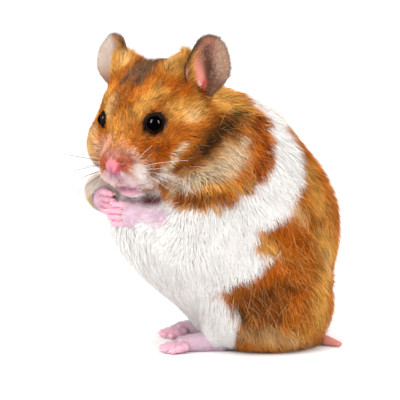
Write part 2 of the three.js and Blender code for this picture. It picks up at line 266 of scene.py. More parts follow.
class Outline:
    """A smooth union of lumps, limbs and other outlines, with its own blend as one of them."""

    probe = 0.05
    corners = ((1, -1, -1), (-1, -1, 1), (-1, 1, -1), (1, 1, 1))
    flattest = 0.05

    def __init__(self, terms: list, blend: float = 0.0) -> None:
        """Keeps the parts, and how far the whole melts into what is there before it."""
        self.terms = terms
        self.blend = blend

    def distance(self, points: Array) -> Array:
        """Returns about how far each point is outside the union."""
        total = self.terms[0].distance(points)
        for term in self.terms[1:]:
            total = melted(total, term.distance(points), term.blend)
        return total

    def gradient(self, points: Array) -> Array:
        """Returns the direction out, from the distances at a tetrahedron's corners."""
        slope = np.zeros_like(points)
        for corner in self.corners:
            step = np.array(corner, float)
            slope += step * self.distance(points + step * self.probe)[..., None]
        return slope / (4.0 * self.probe)

    def normal(self, points: Array) -> Array:
        """Returns the direction out at length 1."""
        return unit(self.gradient(points))

    def project(self, points: Array, level: Array) -> Array:
        """Returns the points moved along the slope to a level, by one of Newton's steps."""
        slope = self.gradient(points)
        gap = (self.distance(points) - level)[..., None]
        return points - gap * slope / np.maximum(dot(slope, slope), self.flattest)


def tilted(degrees: float) -> Array:
    """Returns axes leaned about X."""
    return np.array(Matrix.Rotation(math.radians(-degrees), 3, "X"), float)


def mirrored(point: Point, side: int) -> Point:
    """Returns a point of the left side, or its image on the right for side -1."""
    return (point[0] * side, point[1], point[2])


def head_mirrored(point: Point, side: int) -> Point:
    """Returns a point in head axes, or its image across the head for side -1."""
    return (point[0], point[1] * side, point[2])


SIDES = (1, -1)


@dataclass(frozen=True)
class ArmSizes:
    """One arm, from shoulder over elbow to wrist."""

    shoulder: Point
    elbow: Point
    wrist: Point
    radii: Point
    blends: tuple[float, float]

    def terms(self) -> list:
        """Returns the upper arm and the forearm."""
        joints = (self.shoulder, self.elbow, self.wrist)
        return [RoundCone(*joints[k:k + 2], *self.radii[k:k + 2], self.blends[k]) for k in range(2)]


ARM_LEFT = ArmSizes((16, -12, 52), (18, -22, 39), (14.2, -29.6, 43.4), (9, 6.6, 3.1), (6, 4))
ARM_RIGHT = ArmSizes((-13, -20, 56), (-13.8, -40.4, 48.1), (-6.4, -41.8, 47.6), (8.5, 6, 2.9), (5, 3))


@dataclass(frozen=True)
class BodySizes:
    """The lumps and limbs under the coat's tips. A pair is on the left, with its image."""

    trunk: tuple = (
        ((0, 9, 12), (24, 22.5, 16), 0),
        ((0, -7, 33), (26, 31.5, 24), -38),
        ((0, 9, 37.5), (24.5, 24.8, 29.5), 0),
        ((1, -15, 38.5), (20, 26.5, 17), -6),
        ((1, -3.5, 59), (21, 24, 21.9), 0),
    )
    trunk_blend: float = 8
    haunch: tuple = ((16, 7, 16.5), (11.5, 18.5, 16.3), 6)
    shin: tuple = ((13, 1, 11.5), (12.5, -8.5, 4.6))
    shin_sizes: tuple = (8, 3.8, 6)
    neck: tuple = ((1, -10, 62), (-17, 0, -4))
    neck_sizes: tuple = (19, 17, 8)
    throat: tuple = ((-13, 3, -18), (12, 13, 11), 6)
    cranium: tuple = ((-12.5, 0, -1.2), (17, 16.3, 14.3), 5)
    cheek: tuple = ((-6.5, 11.2, -9.7), (11.5, 9.6, 10), 5)
    whisker_pad: tuple = ((6.5, 4.2, -13.2), (6, 5, 5.5), 3)
    ear_fur: tuple = ((-17.5, 10.9, 12), (5.5, 4.3, 5.3), 6)
    snout: tuple = ((-3, 0, -4.5), (8.8, 0, -9))
    snout_sizes: tuple = (10, 4.8, 5)
    chin: tuple = ((3, 0, -19), (6.5, 6.2, 5), 4)

    def terms(self) -> list:
        """Returns the lumps and limbs of trunk, haunches, neck, head and arms."""
        terms = [Ellipsoid(c, radii, self.trunk_blend, tilted(lean)) for c, radii, lean in self.trunk]
        centre, radii, blend = self.haunch
        for side in SIDES:
            terms.append(Ellipsoid(mirrored(centre, side), radii, blend))
            terms.append(RoundCone(*(mirrored(p, side) for p in self.shin), *self.shin_sizes))
        terms.append(RoundCone(self.neck[0], HEAD.at(self.neck[1]), *self.neck_sizes))
        terms += [head_lump(*self.throat), head_lump(*self.cranium)]
        for side in SIDES:
            for centre, radii, blend in (self.cheek, self.whisker_pad, self.ear_fur):
                terms.append(head_lump(head_mirrored(centre, side), radii, blend))
        terms.append(RoundCone(*(HEAD.at(p) for p in self.snout), *self.snout_sizes))
        terms.append(head_lump(*self.chin))
        return terms + ARM_LEFT.terms() + ARM_RIGHT.terms()


BODY = Outline(BodySizes().terms())


# --- how the coat is, by place


@dataclass(frozen=True)
class Zone:
    """How the coat is round one place: the way it lies, its depth and its hair.

    Rise says how far the tips stand off the rest, as a share of their length.
    """

    place: Point
    lie: Point
    reach: float
    depth: float
    length: float
    width: float
    density: float
    rise: float = 0.0


# Each row: place, lie, reach, depth, length, width, density, and rise where it has one.
HEAD_ZONES = (
    ((9.5, 0, -5.5), (-1, 0, 0.4), 3, 0.3, 0.9, 0.13, 14),
    ((5, 0, -1), (-1, 0, 0.35), 4.5, 0.45, 1.4, 0.15, 13),
    ((8, 4.5, -9), (-1, 0.4, -0.1), 3, 0.4, 1.2, 0.13, 14),
    ((7, 6.5, -14), (-0.8, 0.45, -0.6), 3.5, 0.7, 2, 0.14, 14),
    ((8.5, 2, -17.5), (-0.6, 0.5, -0.5), 2.8, 0.4, 1, 0.12, 15),
    ((5, 0, -22), (-0.6, 0, -0.7), 4, 0.8, 2.2, 0.16, 12),
    ((0, 0, 7), (-1, 0, 0.5), 5, 0.7, 2, 0.18, 12),
    ((-10, 0, 13), (-1, 0, 0.05), 7, 1.3, 3.2, 0.22, 10),
    ((-22, 0, 10), (-0.9, 0, -0.4), 7, 2, 4.8, 0.26, 8.5, 0.1),
    ((1, 13, -10), (-0.95, 0.1, -0.25), 5, 1.1, 2.8, 0.2, 11),
    ((-7, 19, -9), (-0.9, 0.1, -0.35), 7, 1.6, 3.8, 0.22, 10, 0.12),
    ((-8, 17, 2), (-0.95, 0.15, 0), 6, 1.1, 2.8, 0.2, 10),
    ((0.5, 10.5, 0), (-1, 0.1, 0), 3.6, 0.35, 1.1, 0.12, 16),
    ((-14, 11, 10), (-0.8, 0.3, 0.5), 4, 1, 3, 0.2, 10),
    ((-17.5, 12.5, 15.5), (-0.3, 0.5, 0.8), 4.5, 1.1, 4.4, 0.18, 13, 0.45),
    ((-26, 17, 2), (-0.8, 0.2, -0.6), 6, 2, 4.8, 0.28, 8),
    ((-6, 0, -25), (-0.5, 0, -0.9), 6, 2, 4.8, 0.26, 8),
    ((-8, 12, -20), (-0.7, 0.1, -0.7), 6, 2, 4.6, 0.26, 8),
)
TRUNK_ZONES = (
    ((14, -2, 68), (0.1, 0.45, -0.89), 9, 2.6, 6, 0.3, 7),
    ((0, 10, 78), (0, 0.7, -0.7), 9, 2.8, 6.5, 0.32, 6.5),
    ((0, -36, 46), (0, -0.1, -1), 8, 2.8, 6.5, 0.32, 6.5),
    ((12, -34, 36), (0.15, 0.1, -1), 9, 3, 7, 0.33, 6.5),
    ((0, -30, 24), (0, 0.2, -1), 10, 3, 7, 0.34, 6.5),
    ((24, -10, 34), (0, 0.3, -0.95), 10, 3.1, 7, 0.34, 6.5),
    ((24, 6, 48), (0, 0.35, -0.94), 10, 3.1, 7, 0.34, 6.5),
    ((0, 32, 45), (0, 0.1, -1), 12, 3.1, 7, 0.32, 6.8, 0.08),
    ((27, 8, 18), (0, 0.3, -0.95), 9, 3, 6.5, 0.33, 6.5),
    ((12, 30, 14), (0.1, 0.35, -0.9), 9, 3, 6.5, 0.28, 8, 0.16),
    ((22, 12, 3), (0.3, 0.3, -0.9), 7, 2.2, 5.5, 0.24, 10, 0.4),
    ((14, 24, 4), (0.2, 0.5, -0.8), 7, 2.4, 6.5, 0.24, 10, 0.6),
    ((24, 2, 4), (0.4, -0.1, -0.9), 4, 1.8, 4.6, 0.22, 10, 0.2),
    ((15, -5, 10), (0.1, -0.5, -0.85), 5, 1.6, 3.6, 0.24, 8),
    ((12.5, -9.5, 4.4), (0, -1, -0.3), 3.2, 0.45, 1.5, 0.14, 12),
    ((0, 8, 0), (0, 0.8, 0), 10, 1.6, 3.5, 0.28, 5),
    ((8, -14, 10), (0, -0.2, -1), 6, 2.2, 5, 0.28, 7),
)
SINGLE_ZONES = (
    ((12.2, -21.2, 94.4), (0.5, 0.2, 0.85), 4.2, 3.4, 4.2, 0.18, 12, -0.45),
    ((14.4, -23.2, 93.2), (0.5, 0.2, 0.85), 3.6, 3, 3.8, 0.18, 12, -0.45),
    ((18, -15, 48), (0.1, -0.4, -0.9), 6, 2.4, 5.5, 0.28, 7),
    ((19, -23, 39), (-0.2, -0.7, -0.3), 5, 1.8, 4.2, 0.26, 8),
    ((15.5, -30, 44), (-0.4, -0.8, 0.1), 4.4, 0.4, 1.6, 0.14, 10),
    ((-15, -34, 50), (0, -0.5, -0.85), 6, 2, 4.6, 0.22, 9, 0.2),
    ((-13, -42, 48), (0.7, -0.3, -0.6), 4, 1.5, 3.2, 0.22, 9),
    ((-7, -42.5, 47.6), (1, -0.2, -0.1), 3, 0.4, 1.5, 0.15, 12),
)


def all_zones() -> list[Zone]:
    """Returns every zone in the row frame.

    A zone of the head or the trunk that is beside its middle plane has an image
    on the other side. A single zone has none.
    """
    found = []
    for place, lie, *sizes in HEAD_ZONES:
        for side in SIDES if place[1] else SIDES[:1]:
            way = HEAD.turn(head_mirrored(lie, side))
            found.append(Zone(HEAD.at(head_mirrored(place, side)), way, *sizes))
    for place, lie, *sizes in TRUNK_ZONES:
        for side in SIDES if place[0] else SIDES[:1]:
            found.append(Zone(mirrored(place, side), mirrored(lie, side), *sizes))
    return found + [Zone(*row) for row in SINGLE_ZONES]


@dataclass(frozen=True)
class Growth:
    """What the coat is at many points: one value for each."""

    depth: Array
    length: Array
    width: Array
    density: Array
    lie: Array
    rise: Array


class ZoneMap:
    """Blends the zones: each weighs as the fourth power of its reach over its distance."""

    softening = 0.02
    chunk = 60000

    def __init__(self, zones: list[Zone]) -> None:
        """Keeps the zones' places, reaches, sizes and ways as arrays."""
        self.places = np.array([z.place for z in zones])
        self.reaches = np.array([z.reach for z in zones])
        self.sizes = np.array([[z.depth, z.length, z.width, z.density, z.rise] for z in zones])
        self.lies = unit(np.array([z.lie for z in zones]))

    def weights(self, points: Array) -> Array:
        """Returns each zone's share at each point."""
        squares = np.sum((points[:, None, :] - self.places) ** 2, axis=-1)
        weight = 1.0 / (self.softening + squares / self.reaches**2) ** 2
        return weight / weight.sum(axis=1, keepdims=True)

    def at(self, points: Array) -> Growth:
        """Returns what the coat is at each point."""
        sizes = np.zeros((len(points), self.sizes.shape[1]))
        lies = np.zeros((len(points), 3))
        for low in range(0, len(points), self.chunk):
            part = slice(low, low + self.chunk)
            weight = self.weights(points[part])
            sizes[part] = weight @ self.sizes
            lies[part] = weight @ self.lies
        return Growth(sizes[:, 0], sizes[:, 1], sizes[:, 2], sizes[:, 3], unit(lies), sizes[:, 4])


COAT_MAP = ZoneMap(all_zones())


# --- the markings


STUDIO_SHARE = 0.88


class Shade(Enum):
    """The colours of coat and bare skin, as they look on a screen, and two colours of painted shade."""

    ORANGE = (188, 106, 32)
    DEEP = (176, 84, 12)
    SIENNA = (138, 56, 6)
    BROWN = (128, 68, 26)
    UMBER = (92, 44, 12)
    DUN = (186, 142, 94)
    GOLD = (216, 153, 72)
    TAN = (226, 176, 116)
    PALE_TAN = (253, 231, 212)
    SALMON = (250, 184, 152)
    RUST = (188, 78, 48)
    CREAM = (230, 206, 170)
    PEPPER = (168, 148, 114)
    WHITE = (255, 251, 247)
    BLUSH = (246, 214, 212)
    DARK = (50, 32, 16)
    CROWN = (104, 76, 56)
    AMBER = (222, 142, 60)
    STRAW = (238, 196, 134)
    PEARL = (252, 238, 232)
    NOSE = (202, 122, 134)
    PEACH = (232, 156, 118)
    FAWN = (222, 172, 148)
    ORCHID = (208, 150, 172)
    ROSE = (236, 152, 140)
    PINK = (246, 174, 192)
    LILAC = (236, 194, 216)
    # Painted shadow: the dark of the gap under the chin.
    MAROON = (112, 52, 62)
    MAUVE = (176, 110, 140)
    # Painted shade: in the nostrils, along the mouth and between the digits.
    CRIMSON_SHADE = (176, 40, 70)

    @property
    def colour(self) -> Array:
        """The shade as a linear colour, as it reflects the studio's light."""
        return linear(*self.value) * STUDIO_SHARE


def polyline_cover(points: Array, path: Array, radii: Array) -> Array:
    """Returns how deep each point is in a row of round cones: 1 on the line, 0 at its edge.

    Args:
        points: rows of places in mm.
        path: the line's points.
        radii: one radius for each of them.

    Returns:
        One value for each point, negative outside.
    """
    cover = np.full(len(points), -1.0)
    if len(path) == 1:
        return 1.0 - np.linalg.norm(points - path[0], axis=1) / radii[0]
    for start, end, first, last in zip(path[:-1], path[1:], radii[:-1], radii[1:]):
        along = end - start
        share = np.clip((points - start) @ along / (along @ along), 0.0, 1.0)
        away = np.linalg.norm(points - start - share[:, None] * along, axis=1)
        cover = np.maximum(cover, 1.0 - away / (first + (last - first) * share))
    return cover


class Place(Enum):
    """Where a stroke is: on the body or in head axes, with an image on the right or alone."""

    BODY = (False, True)
    ONE = (False, False)
    HEAD = (True, True)
    HEAD_ONE = (True, False)


@dataclass(frozen=True)
class Stroke:
    """One stroke of colour through the coat, as a line of points with one radius or several."""

    shade: Shade
    path: tuple
    radii: float | tuple
    soft: float
    strength: float
    where: Place

    @property
    def twin(self) -> bool:
        """Whether it has an image on the right."""
        return self.where.value[1]

    def cover(self, points: Array) -> Array:
        """Returns the stroke's share of the colour at each point."""
        path = HEAD.at(self.path) if self.where.value[0] else np.array(self.path, float)
        radii = np.broadcast_to(np.array(self.radii, float), len(path))
        return self.strength * ramp(polyline_cover(points, path, radii), 0.0, self.soft)


def strokes(rows: tuple, where: Place = Place.BODY) -> tuple[Stroke, ...]:
    """Returns strokes from rows of shade, path, radii, softness, strength and a place of their own."""
    return tuple(Stroke(Shade[row[0]], *row[1:5], *(row[5:] or (where,))) for row in rows)


@dataclass(frozen=True)
class WhiteFront:
    """The white of chest, belly and shoulder band, as its border seen from the side.

    The border is a closed line of (y, z): the band's front edge down to the chest,
    round the belly, and up along flank and back to the nape.
    """

    front_edge: tuple = (
        (3.9, 80.1), (8.5, 75.6), (10.6, 69.8), (10.5, 64.1), (8.6, 59.2), (6.2, 55.0),
        (1.6, 51.2), (-4.0, 48.4), (-9.6, 46.6), (-16.0, 45.4), (-22.0, 46.4), (-26.5, 49.6),
    )
    outside: tuple = ((-60.0, 54.0), (-60.0, -9.0), (-3.5, -9.0))
    rear_edge: tuple = (
        (-3.8, 9.9), (-5.0, 14.6), (-7.2, 18.0), (-11.3, 19.0), (-6.4, 20.9), (-3.4, 22.9),
        (1.9, 25.0), (5.2, 30.2), (9.5, 31.6), (2.0, 32.2), (2.0, 35.4), (4.0, 38.4),
        (7.3, 40.5), (12.9, 44.2), (16.4, 47.1), (18.2, 51.3), (20.0, 57.0), (20.2, 61.7),
        (18.0, 66.9), (15.2, 72.0), (10.4, 76.9), (7.0, 84.0),
    )
    soft: float = 1.3

    def cover(self, points: Array) -> Array:
        """Returns how white the coat is at each point.

        The distance to the border's nearest side is signed by the number of sides
        that a line upwards from the point crosses.
        """
        border = np.array(self.front_edge + self.outside + self.rear_edge)
        flat = points[:, 1:]
        nearest = np.full(len(flat), 1e9)
        inside = np.zeros(len(flat), bool)
        for start, end in zip(border, np.roll(border, -1, axis=0)):
            along = end - start
            share = np.clip((flat - start) @ along / (along @ along), 0.0, 1.0)
            nearest = np.minimum(nearest, np.linalg.norm(flat - start - share[:, None] * along, axis=1))
            spans = (start[0] > flat[:, 0]) != (end[0] > flat[:, 0])
            width = along[0] if abs(along[0]) > TINY else TINY
            height = start[1] + (flat[:, 0] - start[0]) * along[1] / width
            inside ^= spans & (flat[:, 1] < height)
        return ramp(np.where(inside, nearest, -nearest), -self.soft, self.soft)


HEAD_CUT_POINT = (-16.0, 0.0, -4.0)
HEAD_CUT_NORMAL = (0.85, 0.0, 0.53)
CUT_SOFTNESS = 8.0


def head_share(points: Array) -> Array:
    """Returns 1 for a point of the head, 0 for one of the body, and between at the neck."""
    ahead = (HEAD.local(points) - np.array(HEAD_CUT_POINT)) @ np.array(HEAD_CUT_NORMAL)
    return ramp(ahead, -CUT_SOFTNESS, CUT_SOFTNESS)


def near_side(points: Array) -> Array:
    """Returns each point, or its image on the left if it is on the right.

    The head has its own middle plane, so the two images are blended at the neck.
    """
    share = head_share(points)[:, None]
    local = HEAD.local(points)
    sideways = share[:, 0] * local[:, 1] + (1.0 - share[:, 0]) * points[:, 0]
    head_image = HEAD.at(local * np.array([1.0, -1.0, 1.0]))
    body_image = points * np.array([-1.0, 1.0, 1.0])
    image = mix(body_image, head_image, share)
    return np.where(sideways[:, None] < 0.0, image, points)


BODY_STROKES = strokes((
    ("GOLD", ((26, 3, 35), (25.6, 7, 34)), 5, 0.9, 0.8),
    ("DEEP", ((24.7, 11, 39), (23.5, 16, 36), (20.8, 20, 34)), 6, 0.9, 0.9),
    ("GOLD", ((18, 25.5, 36), (12, 29, 28), (21, 25, 17), (20, 24, 9)), 8, 0.9, 0.9),
    ("TAN", ((15, 28, 29), (14, 28, 24)), 4, 0.9, 0.6),
    ("GOLD", ((14, 24, 60), (16, 23, 54), (18, 24.5, 46)), 6.5, 0.9, 0.8),
    ("UMBER", ((3, 18, 77), (6, 21, 70), (8, 24.5, 62)), 5, 0.9, 0.7),
    ("GOLD", ((22, 17, 4), (24, 8, 3.6)), 6.5, 0.9, 0.85),
    ("CREAM", ((25.4, 6, 31.2), (26, 8.6, 30.4)), 2, 1, 0.5),
    ("DEEP", ((27.3, 3, 24), (27, 7, 26), (26, 14, 27)), 5, 0.9, 0.9),
    ("UMBER", ((27.3, 1.1, 18.4), (27.7, 5.9, 20.3), (27.1, 12.4, 20.8), (25.4, 17.5, 21)),
     (6, 5.6, 4.6, 3), 1, 1),
    ("DEEP", ((25.4, 17.5, 20), (26.8, 13.5, 16), (27, 10, 13)), 4, 0.9, 0.8),
    ("BROWN", ((26.6, 8.4, 17.4), (27, 9.6, 14)), 4.4, 1, 0.8),
    ("BROWN", ((26.5, -1, 17), (27.2, 3, 12.6), (27, 6, 10)), 8, 1, 0.9),
    ("DARK", ((25.4, -4, 14), (25.5, -2.5, 9.6), (24.4, -1.6, 6)), 3.6, 0.9, 0.85),
    ("DUN", ((25, -1, 5.4), (25.6, 5, 5.4), (23, 14, 3.4), (18, 20, 2)), (6, 6, 4.4, 3.6), 0.9, 0.9),
    ("TAN", ((22.7, 15, 46), (22, 17.4, 43)), 4.4, 1, 0.8),
))
NECK_STROKES = strokes((
    ("GOLD", ((0, -12, 84), (6, -2, 82), (10, -5, 80), (13, 1, 77)), 7, 0.6, 0.9),
    ("SIENNA", ((14, 6.4, 74), (18.2, 5.4, 69.6), (19.7, 7.2, 65), (21.2, 5.8, 60.5),
     (22.2, 3.6, 57.2)), (3.4, 4.4, 4.6, 4.4, 3.4), 0.9, 1),
    ("GOLD", ((22.8, 1, 54), (23.8, -3.4, 51.6)), 2.8, 0.9, 0.8),
    ("TAN", ((21.4, -3.6, 67), (23, -8.6, 63.4), (24.2, -14, 60.4), (23.6, -20, 57.6)), 3.4, 1, 0.8),
    ("CREAM", ((20.9, -0.4, 67), (22.4, -3.3, 62.8), (23.6, -7.3, 59.6), (24.4, -11.4, 57.6),
     (24.2, -15.8, 55.8), (22.6, -19.9, 54.4), (20, -23.6, 53.2)),
     (3, 5.4, 5.8, 5.6, 5, 4.4, 3.4), 0.9, 0.82),
    ("PEPPER", ((24.4, -12, 56.6), (22.8, -19, 54.4), (19.7, -24, 52.6)), 3.6, 0.9, 0.4),
    ("GOLD", ((24.2, -4.5, 55.6), (25.4, -9.7, 53.4), (25.2, -14.4, 52.4)), 2.4, 0.9, 0.9),
    ("BROWN", ((25.4, -8, 50.2), (25.5, -13.5, 49.8), (24.2, -19, 49.6), (22.2, -23, 49.4)),
     (2.4, 3.1, 3.5, 3), 0.9, 1),
    ("TAN", ((24.9, -6, 47.6), (25.6, -12.2, 46.6), (25.5, -17.3, 46.6), (23.4, -21.9, 47)), 1.8, 0.9, 0.8),
    ("BROWN", ((15.5, 1.4, 75.4), (17.4, 3.2, 72)), 3.2, 0.9, 0.8),
    ("DARK", ((14.6, 0.8, 76.2), (17.3, -3, 74.6), (19.6, -6, 72.2), (21.2, -9.5, 69.2),
     (22.7, -13.3, 65.5), (24, -16.4, 63.6)), (3.4, 6.2, 7.8, 7.6, 6.4, 4), 1, 0.97),
    ("BROWN", ((24, -16.6, 63.6), (24.6, -19.6, 61.4), (23.8, -22.4, 59.4)), (4.2, 3.4, 2.4), 0.9, 0.9),
))
HEAD_STROKES = strokes((
    ("GOLD", ((-4, 15.5, 2.4), (-8.6, 17.5, 1.2), (-13, 18.4, 0)), (5, 5.6, 6.4), 0.8, 0.9),
    ("TAN", ((-7.6, 18, -0.6), (-10, 18.4, -1.6)), 3.4, 0.9, 0.85),
    ("GOLD", ((-5, 10.1, 8.5), (-1, 8, 7), (2.4, 6, 3.5)), 4.6, 0.9, 0.9),
    ("TAN", ((0.8, -4.4, 8), (3, -6, 3.6)), 4.8, 1, 0.7, Place.HEAD_ONE),
    ("GOLD", ((5.4, -2.2, 1), (7.6, -0.8, -2.4), (9, -0.6, -4.4)), 4.6, 1, 0.9, Place.HEAD_ONE),
    ("AMBER", ((4.4, 1.2, 2), (7.2, 1.2, -1.4), (9, 1.5, -4)), 5.4, 1, 0.9),
    ("DEEP", ((-10.4, 13, 9.4), (-12.4, 15.4, 6)), 4.2, 0.9, 0.8),
    ("GOLD", ((-19, 12, 15), (-15, 11, 14.5)), 6.5, 0.5, 0.95),
    ("TAN", ((-15, 8.4, 14.6), (-17, 10, 17)), 3.2, 0.9, 0.7),
    ("BROWN", ((-7, 1.6, 12.6), (-3, 0.6, 10.9), (1, 1.2, 8)), 3.4, 1, 0.6),
    ("CROWN", ((-21, 1.2, 13.4), (-14, 1.2, 14.2), (-8.4, 2, 13.2), (-5.4, 3, 11.8)),
     (6.4, 6.2, 5.4, 3.4), 1, 1),
    ("SIENNA", ((-1.4, 17.5, -3.2), (-3.4, 18.6, -5)), 4.6, 1, 0.5),
    ("PALE_TAN", ((18.8, -26.4, 56.8), (21.4, -22.8, 55.2), (22.8, -19.8, 53.6)),
     (4, 4.2, 3.6), 1, 0.95, Place.BODY),
    ("DEEP", ((5.2, 10.4, -7.4), (3.4, 15.6, -8), (4, 12.6, -13)), 4.6, 0.7, 1),
    ("TAN", ((1.8, -15.3, -4.2), (4, -15.3, -10)), 6, 0.7, 0.8, Place.HEAD_ONE),
    ("SALMON", ((8.4, -4.4, -5), (5.6, -10, -8), (6.6, -9, -12)), 5.6, 0.9, 0.85, Place.HEAD_ONE),
    ("PEACH", ((9.8, 2.6, -4.6), (11.6, 1.4, -6.4)), 3.6, 1, 0.8),
    ("FAWN", ((9.4, 5.6, -7.4), (9.6, 7, -10.5), (8.4, 8.2, -13.6)), (3.4, 5, 5.2), 1, 1),
    ("PEARL", ((9.4, 7, -13.2), (8.4, 7.8, -16.4), (6.4, 8.4, -18.4)), (4.4, 5.4, 4.6), 1, 1),
    ("BLUSH", ((12.6, 2.4, -15.2), (10.4, 4.4, -17.6)), 4.4, 0.8, 1),
    ("ORCHID", ((13.8, -0.5, -13), (12.7, 1.4, -15)), 3.6, 1, 0.85),
    ("RUST", ((12.8, 2.8, -8.6), (11.2, 5.4, -8.8), (11.8, 4.4, -11.6)), (3, 3.2, 2.6), 1, 0.85),
    ("WHITE", ((10.5, 3.5, -21.5), (7, 6, -20.5), (3, 7.4, -21)), 2.2, 0.9, 1),
    ("BLUSH", ((9.5, 0, -20.5), (5, 0, -24), (0, 2, -26)), (5.5, 6, 7), 0.6, 0.6),
    ("WHITE", ((6, 1, -24), (0, 3, -25)), 5, 0.8, 0.9),
    ("PEARL", ((4.4, 8.4, -18.8), (1.8, 9.6, -18.6), (2.4, 12.2, -16.6)), (3.6, 3.2, 2.2), 1, 1),
    ("CREAM", ((2.2, 12.2, -16.6), (2.9, 15.6, -13.2), (1.6, 18.2, -10.3), (-1.4, 19.6, -8.2)),
     (2.3, 2, 1.9, 1.4), 1, 0.9),
    ("MAUVE", ((10.7, 0, -19.2), (9.8, 2.6, -19.8), (8.6, 4.4, -20.1)), (1.9, 2.1, 1.3), 0.8, 0.95),
    ("UMBER", ((-19, 13.5, 6), (-19.5, 17.6, 1.2)), 3.4, 0.9, 0.9),
    ("ROSE", ((12.6, 0, -6.8), (12.6, 0, -8.5)), 3.4, 1, 0.85),
    ("BROWN", ((1.4, 10.8, -1.8), (-1.6, 11.4, 1.2)), 5.4, 0.9, 0.8, Place.HEAD_ONE),
    ("DARK", ((0.6, 10.1, -0.8),), 4.8, 0.35, 1, Place.HEAD_ONE),
    ("BROWN", ((2, -8.8, 0.9),), 3.8, 1, 0.6, Place.HEAD_ONE),
    ("DARK", ((2, -8.6, 0.9),), 2.6, 0.5, 1, Place.HEAD_ONE),
), Place.HEAD)
ARM_STROKES = strokes((
    ("PALE_TAN", ((-13, -24, 57), (-15, -36, 52), (-11.5, -45, 50)), 13, 0.4, 0.9),
    ("TAN", ((-14, -40, 44), (-10, -45, 44.6)), 4.6, 0.9, 0.9),
    # Painted shadow: a mauve line along the top of the near paw and a maroon patch in the gap under the
    # chin, where the chin's shade falls.
    ("MAUVE", ((7, -37, 48.9), (11.8, -35.3, 49.1), (14.4, -33.2, 49.1)), 1.8, 0.9, 0.8),
    ("MAROON", ((14.8, -31.2, 49), (16.3, -30, 49.3), (17.4, -28.4, 49.4)), 3.4, 0.9, 1),
    ("DUN", ((19, -26, 49.6), (20, -25, 51)), 2.4, 0.9, 0.7),
    ("LILAC", ((15, -32, 44.5), (20.5, -28, 44)), 4.6, 0.8, 0.85),
), Place.ONE)


@dataclass(frozen=True)
class Markings:
    """Paints points of the coat or the skin: the base colour, the white, the strokes."""

    lump: float = 9.0
    lump_strength: float = 0.35
    lump_salt: int = 4
    body_wobble: float = 1.5
    head_wobble: float = 0.7
    wobble_size: float = 3.0
    wobble_salts: tuple = (1, 2, 3)
    white: WhiteFront = WhiteFront()

    def wobbled(self, points: Array) -> Array:
        """Returns the points moved a little, so that no border is a clean line."""
        moves = noise_vectors(points, self.wobble_size, self.wobble_salts)
        wobble = mix(self.body_wobble, self.head_wobble, head_share(points))
        return points + wobble[:, None] * moves

    def colours(self, points: Array) -> Array:
        """Returns the linear colour of the coat's surface at each point."""
        near_points = self.wobbled(near_side(points))
        share = self.lump_strength * (0.5 + 0.5 * value_noise(points, self.lump, self.lump_salt))
        colour = tint(Shade.ORANGE.colour, Shade.DEEP.colour, share)
        colour = self.painted(colour, near_points, points, BODY_STROKES)
        colour = tint(colour, Shade.WHITE.colour, self.white.cover(near_points))
        return self.painted(colour, near_points, points, NECK_STROKES + HEAD_STROKES + ARM_STROKES)

    def painted(self, colour: Array, near_points: Array, points: Array, strokes: tuple) -> Array:
        """Returns the colours with the strokes over them, in order.

        Args:
            colour: the colours below, one row a point.
            near_points: the points brought to the left side.
            points: the points themselves.
            strokes: the strokes to lay on.

        Returns:
            One colour for each point.
        """
        for stroke in strokes:
            where = near_points if stroke.twin else points
            colour = tint(colour, stroke.shade.colour, stroke.cover(where))
        return colour


MARKINGS = Markings()


# --- meshes in Blender


@dataclass
class Faces:
    """The corners of a mesh, as rows of three or four vertex numbers."""

    triangles: Array = field(default_factory=lambda: np.zeros((0, 3), np.int64))
    quads: Array = field(default_factory=lambda: np.zeros((0, 4), np.int64))

    def shifted(self, count: int) -> "Faces":
        """Returns the faces for vertices that come after count others."""
        return Faces(self.triangles + count, self.quads + count)

    def as_triangles(self) -> Array:
        """Returns all faces as triangles."""
        return np.concatenate([self.triangles, self.quads[:, [0, 1, 2]], self.quads[:, [0, 2, 3]]])

    def flipped(self) -> "Faces":
        """Returns the faces turned inside out."""
        return Faces(self.triangles[:, ::-1], self.quads[:, ::-1])


def new_mesh(name: str, vertices: Array, faces: Faces, smooth: bool = True) -> bpy.types.Object:
    """Makes a mesh object from whole arrays.

    Args:
        name: the piece's name.
        vertices: rows of x, y, z in millimetres.
        faces: the triangles and quads.
        smooth: whether the faces are shaded smooth.

    Returns:
        The object, at the origin, linked to the scene.
    """
    mesh = bpy.data.meshes.new(name)
    triangles, quads = np.asarray(faces.triangles), np.asarray(faces.quads)
    corners = np.concatenate([triangles.ravel(), quads.ravel()]).astype(np.int32)
    sizes = np.concatenate([np.full(len(triangles), 3), np.full(len(quads), 4)])
    starts = np.concatenate([[0], np.cumsum(sizes)[:-1]]).astype(np.int32)
    mesh.vertices.add(len(vertices))
    mesh.vertices.foreach_set("co", (vertices * MM).astype(np.float32).ravel())
    mesh.loops.add(len(corners))
    mesh.loops.foreach_set("vertex_index", corners)
    mesh.polygons.add(len(sizes))
    mesh.polygons.foreach_set("loop_start", starts)
    mesh.polygons.foreach_set("use_smooth", np.full(len(sizes), smooth))
    mesh.update(calc_edges=True)
    mesh.validate()
    piece = bpy.data.objects.new(name, mesh)
    bpy.context.scene.collection.objects.link(piece)
    return piece


def set_colours(piece: bpy.types.Object, name: str, colours: Array) -> None:
    """Stores a linear colour for each vertex under a name.

    Args:
        piece: the object.
        name: the attribute's name.
        colours: one row for each vertex.
    """
    layer = piece.data.color_attributes.new(name, "FLOAT_COLOR", "POINT")
    rows = np.concatenate([colours, np.ones((len(colours), 1))], axis=1)
    layer.data.foreach_set("color", rows.astype(np.float32).ravel())


def set_uv(piece: bpy.types.Object, name: str, places: Array) -> None:
    """Stores a UV map from one place for each vertex.

    Args:
        piece: the object.
        name: the map's name.
        places: one (u, v) for each vertex.
    """
    mesh = piece.data
    corners = np.zeros(len(mesh.loops), np.int32)
    mesh.loops.foreach_get("vertex_index", corners)
    layer = mesh.uv_layers.new(name=name)
    layer.data.foreach_set("uv", places[corners].astype(np.float32).ravel())


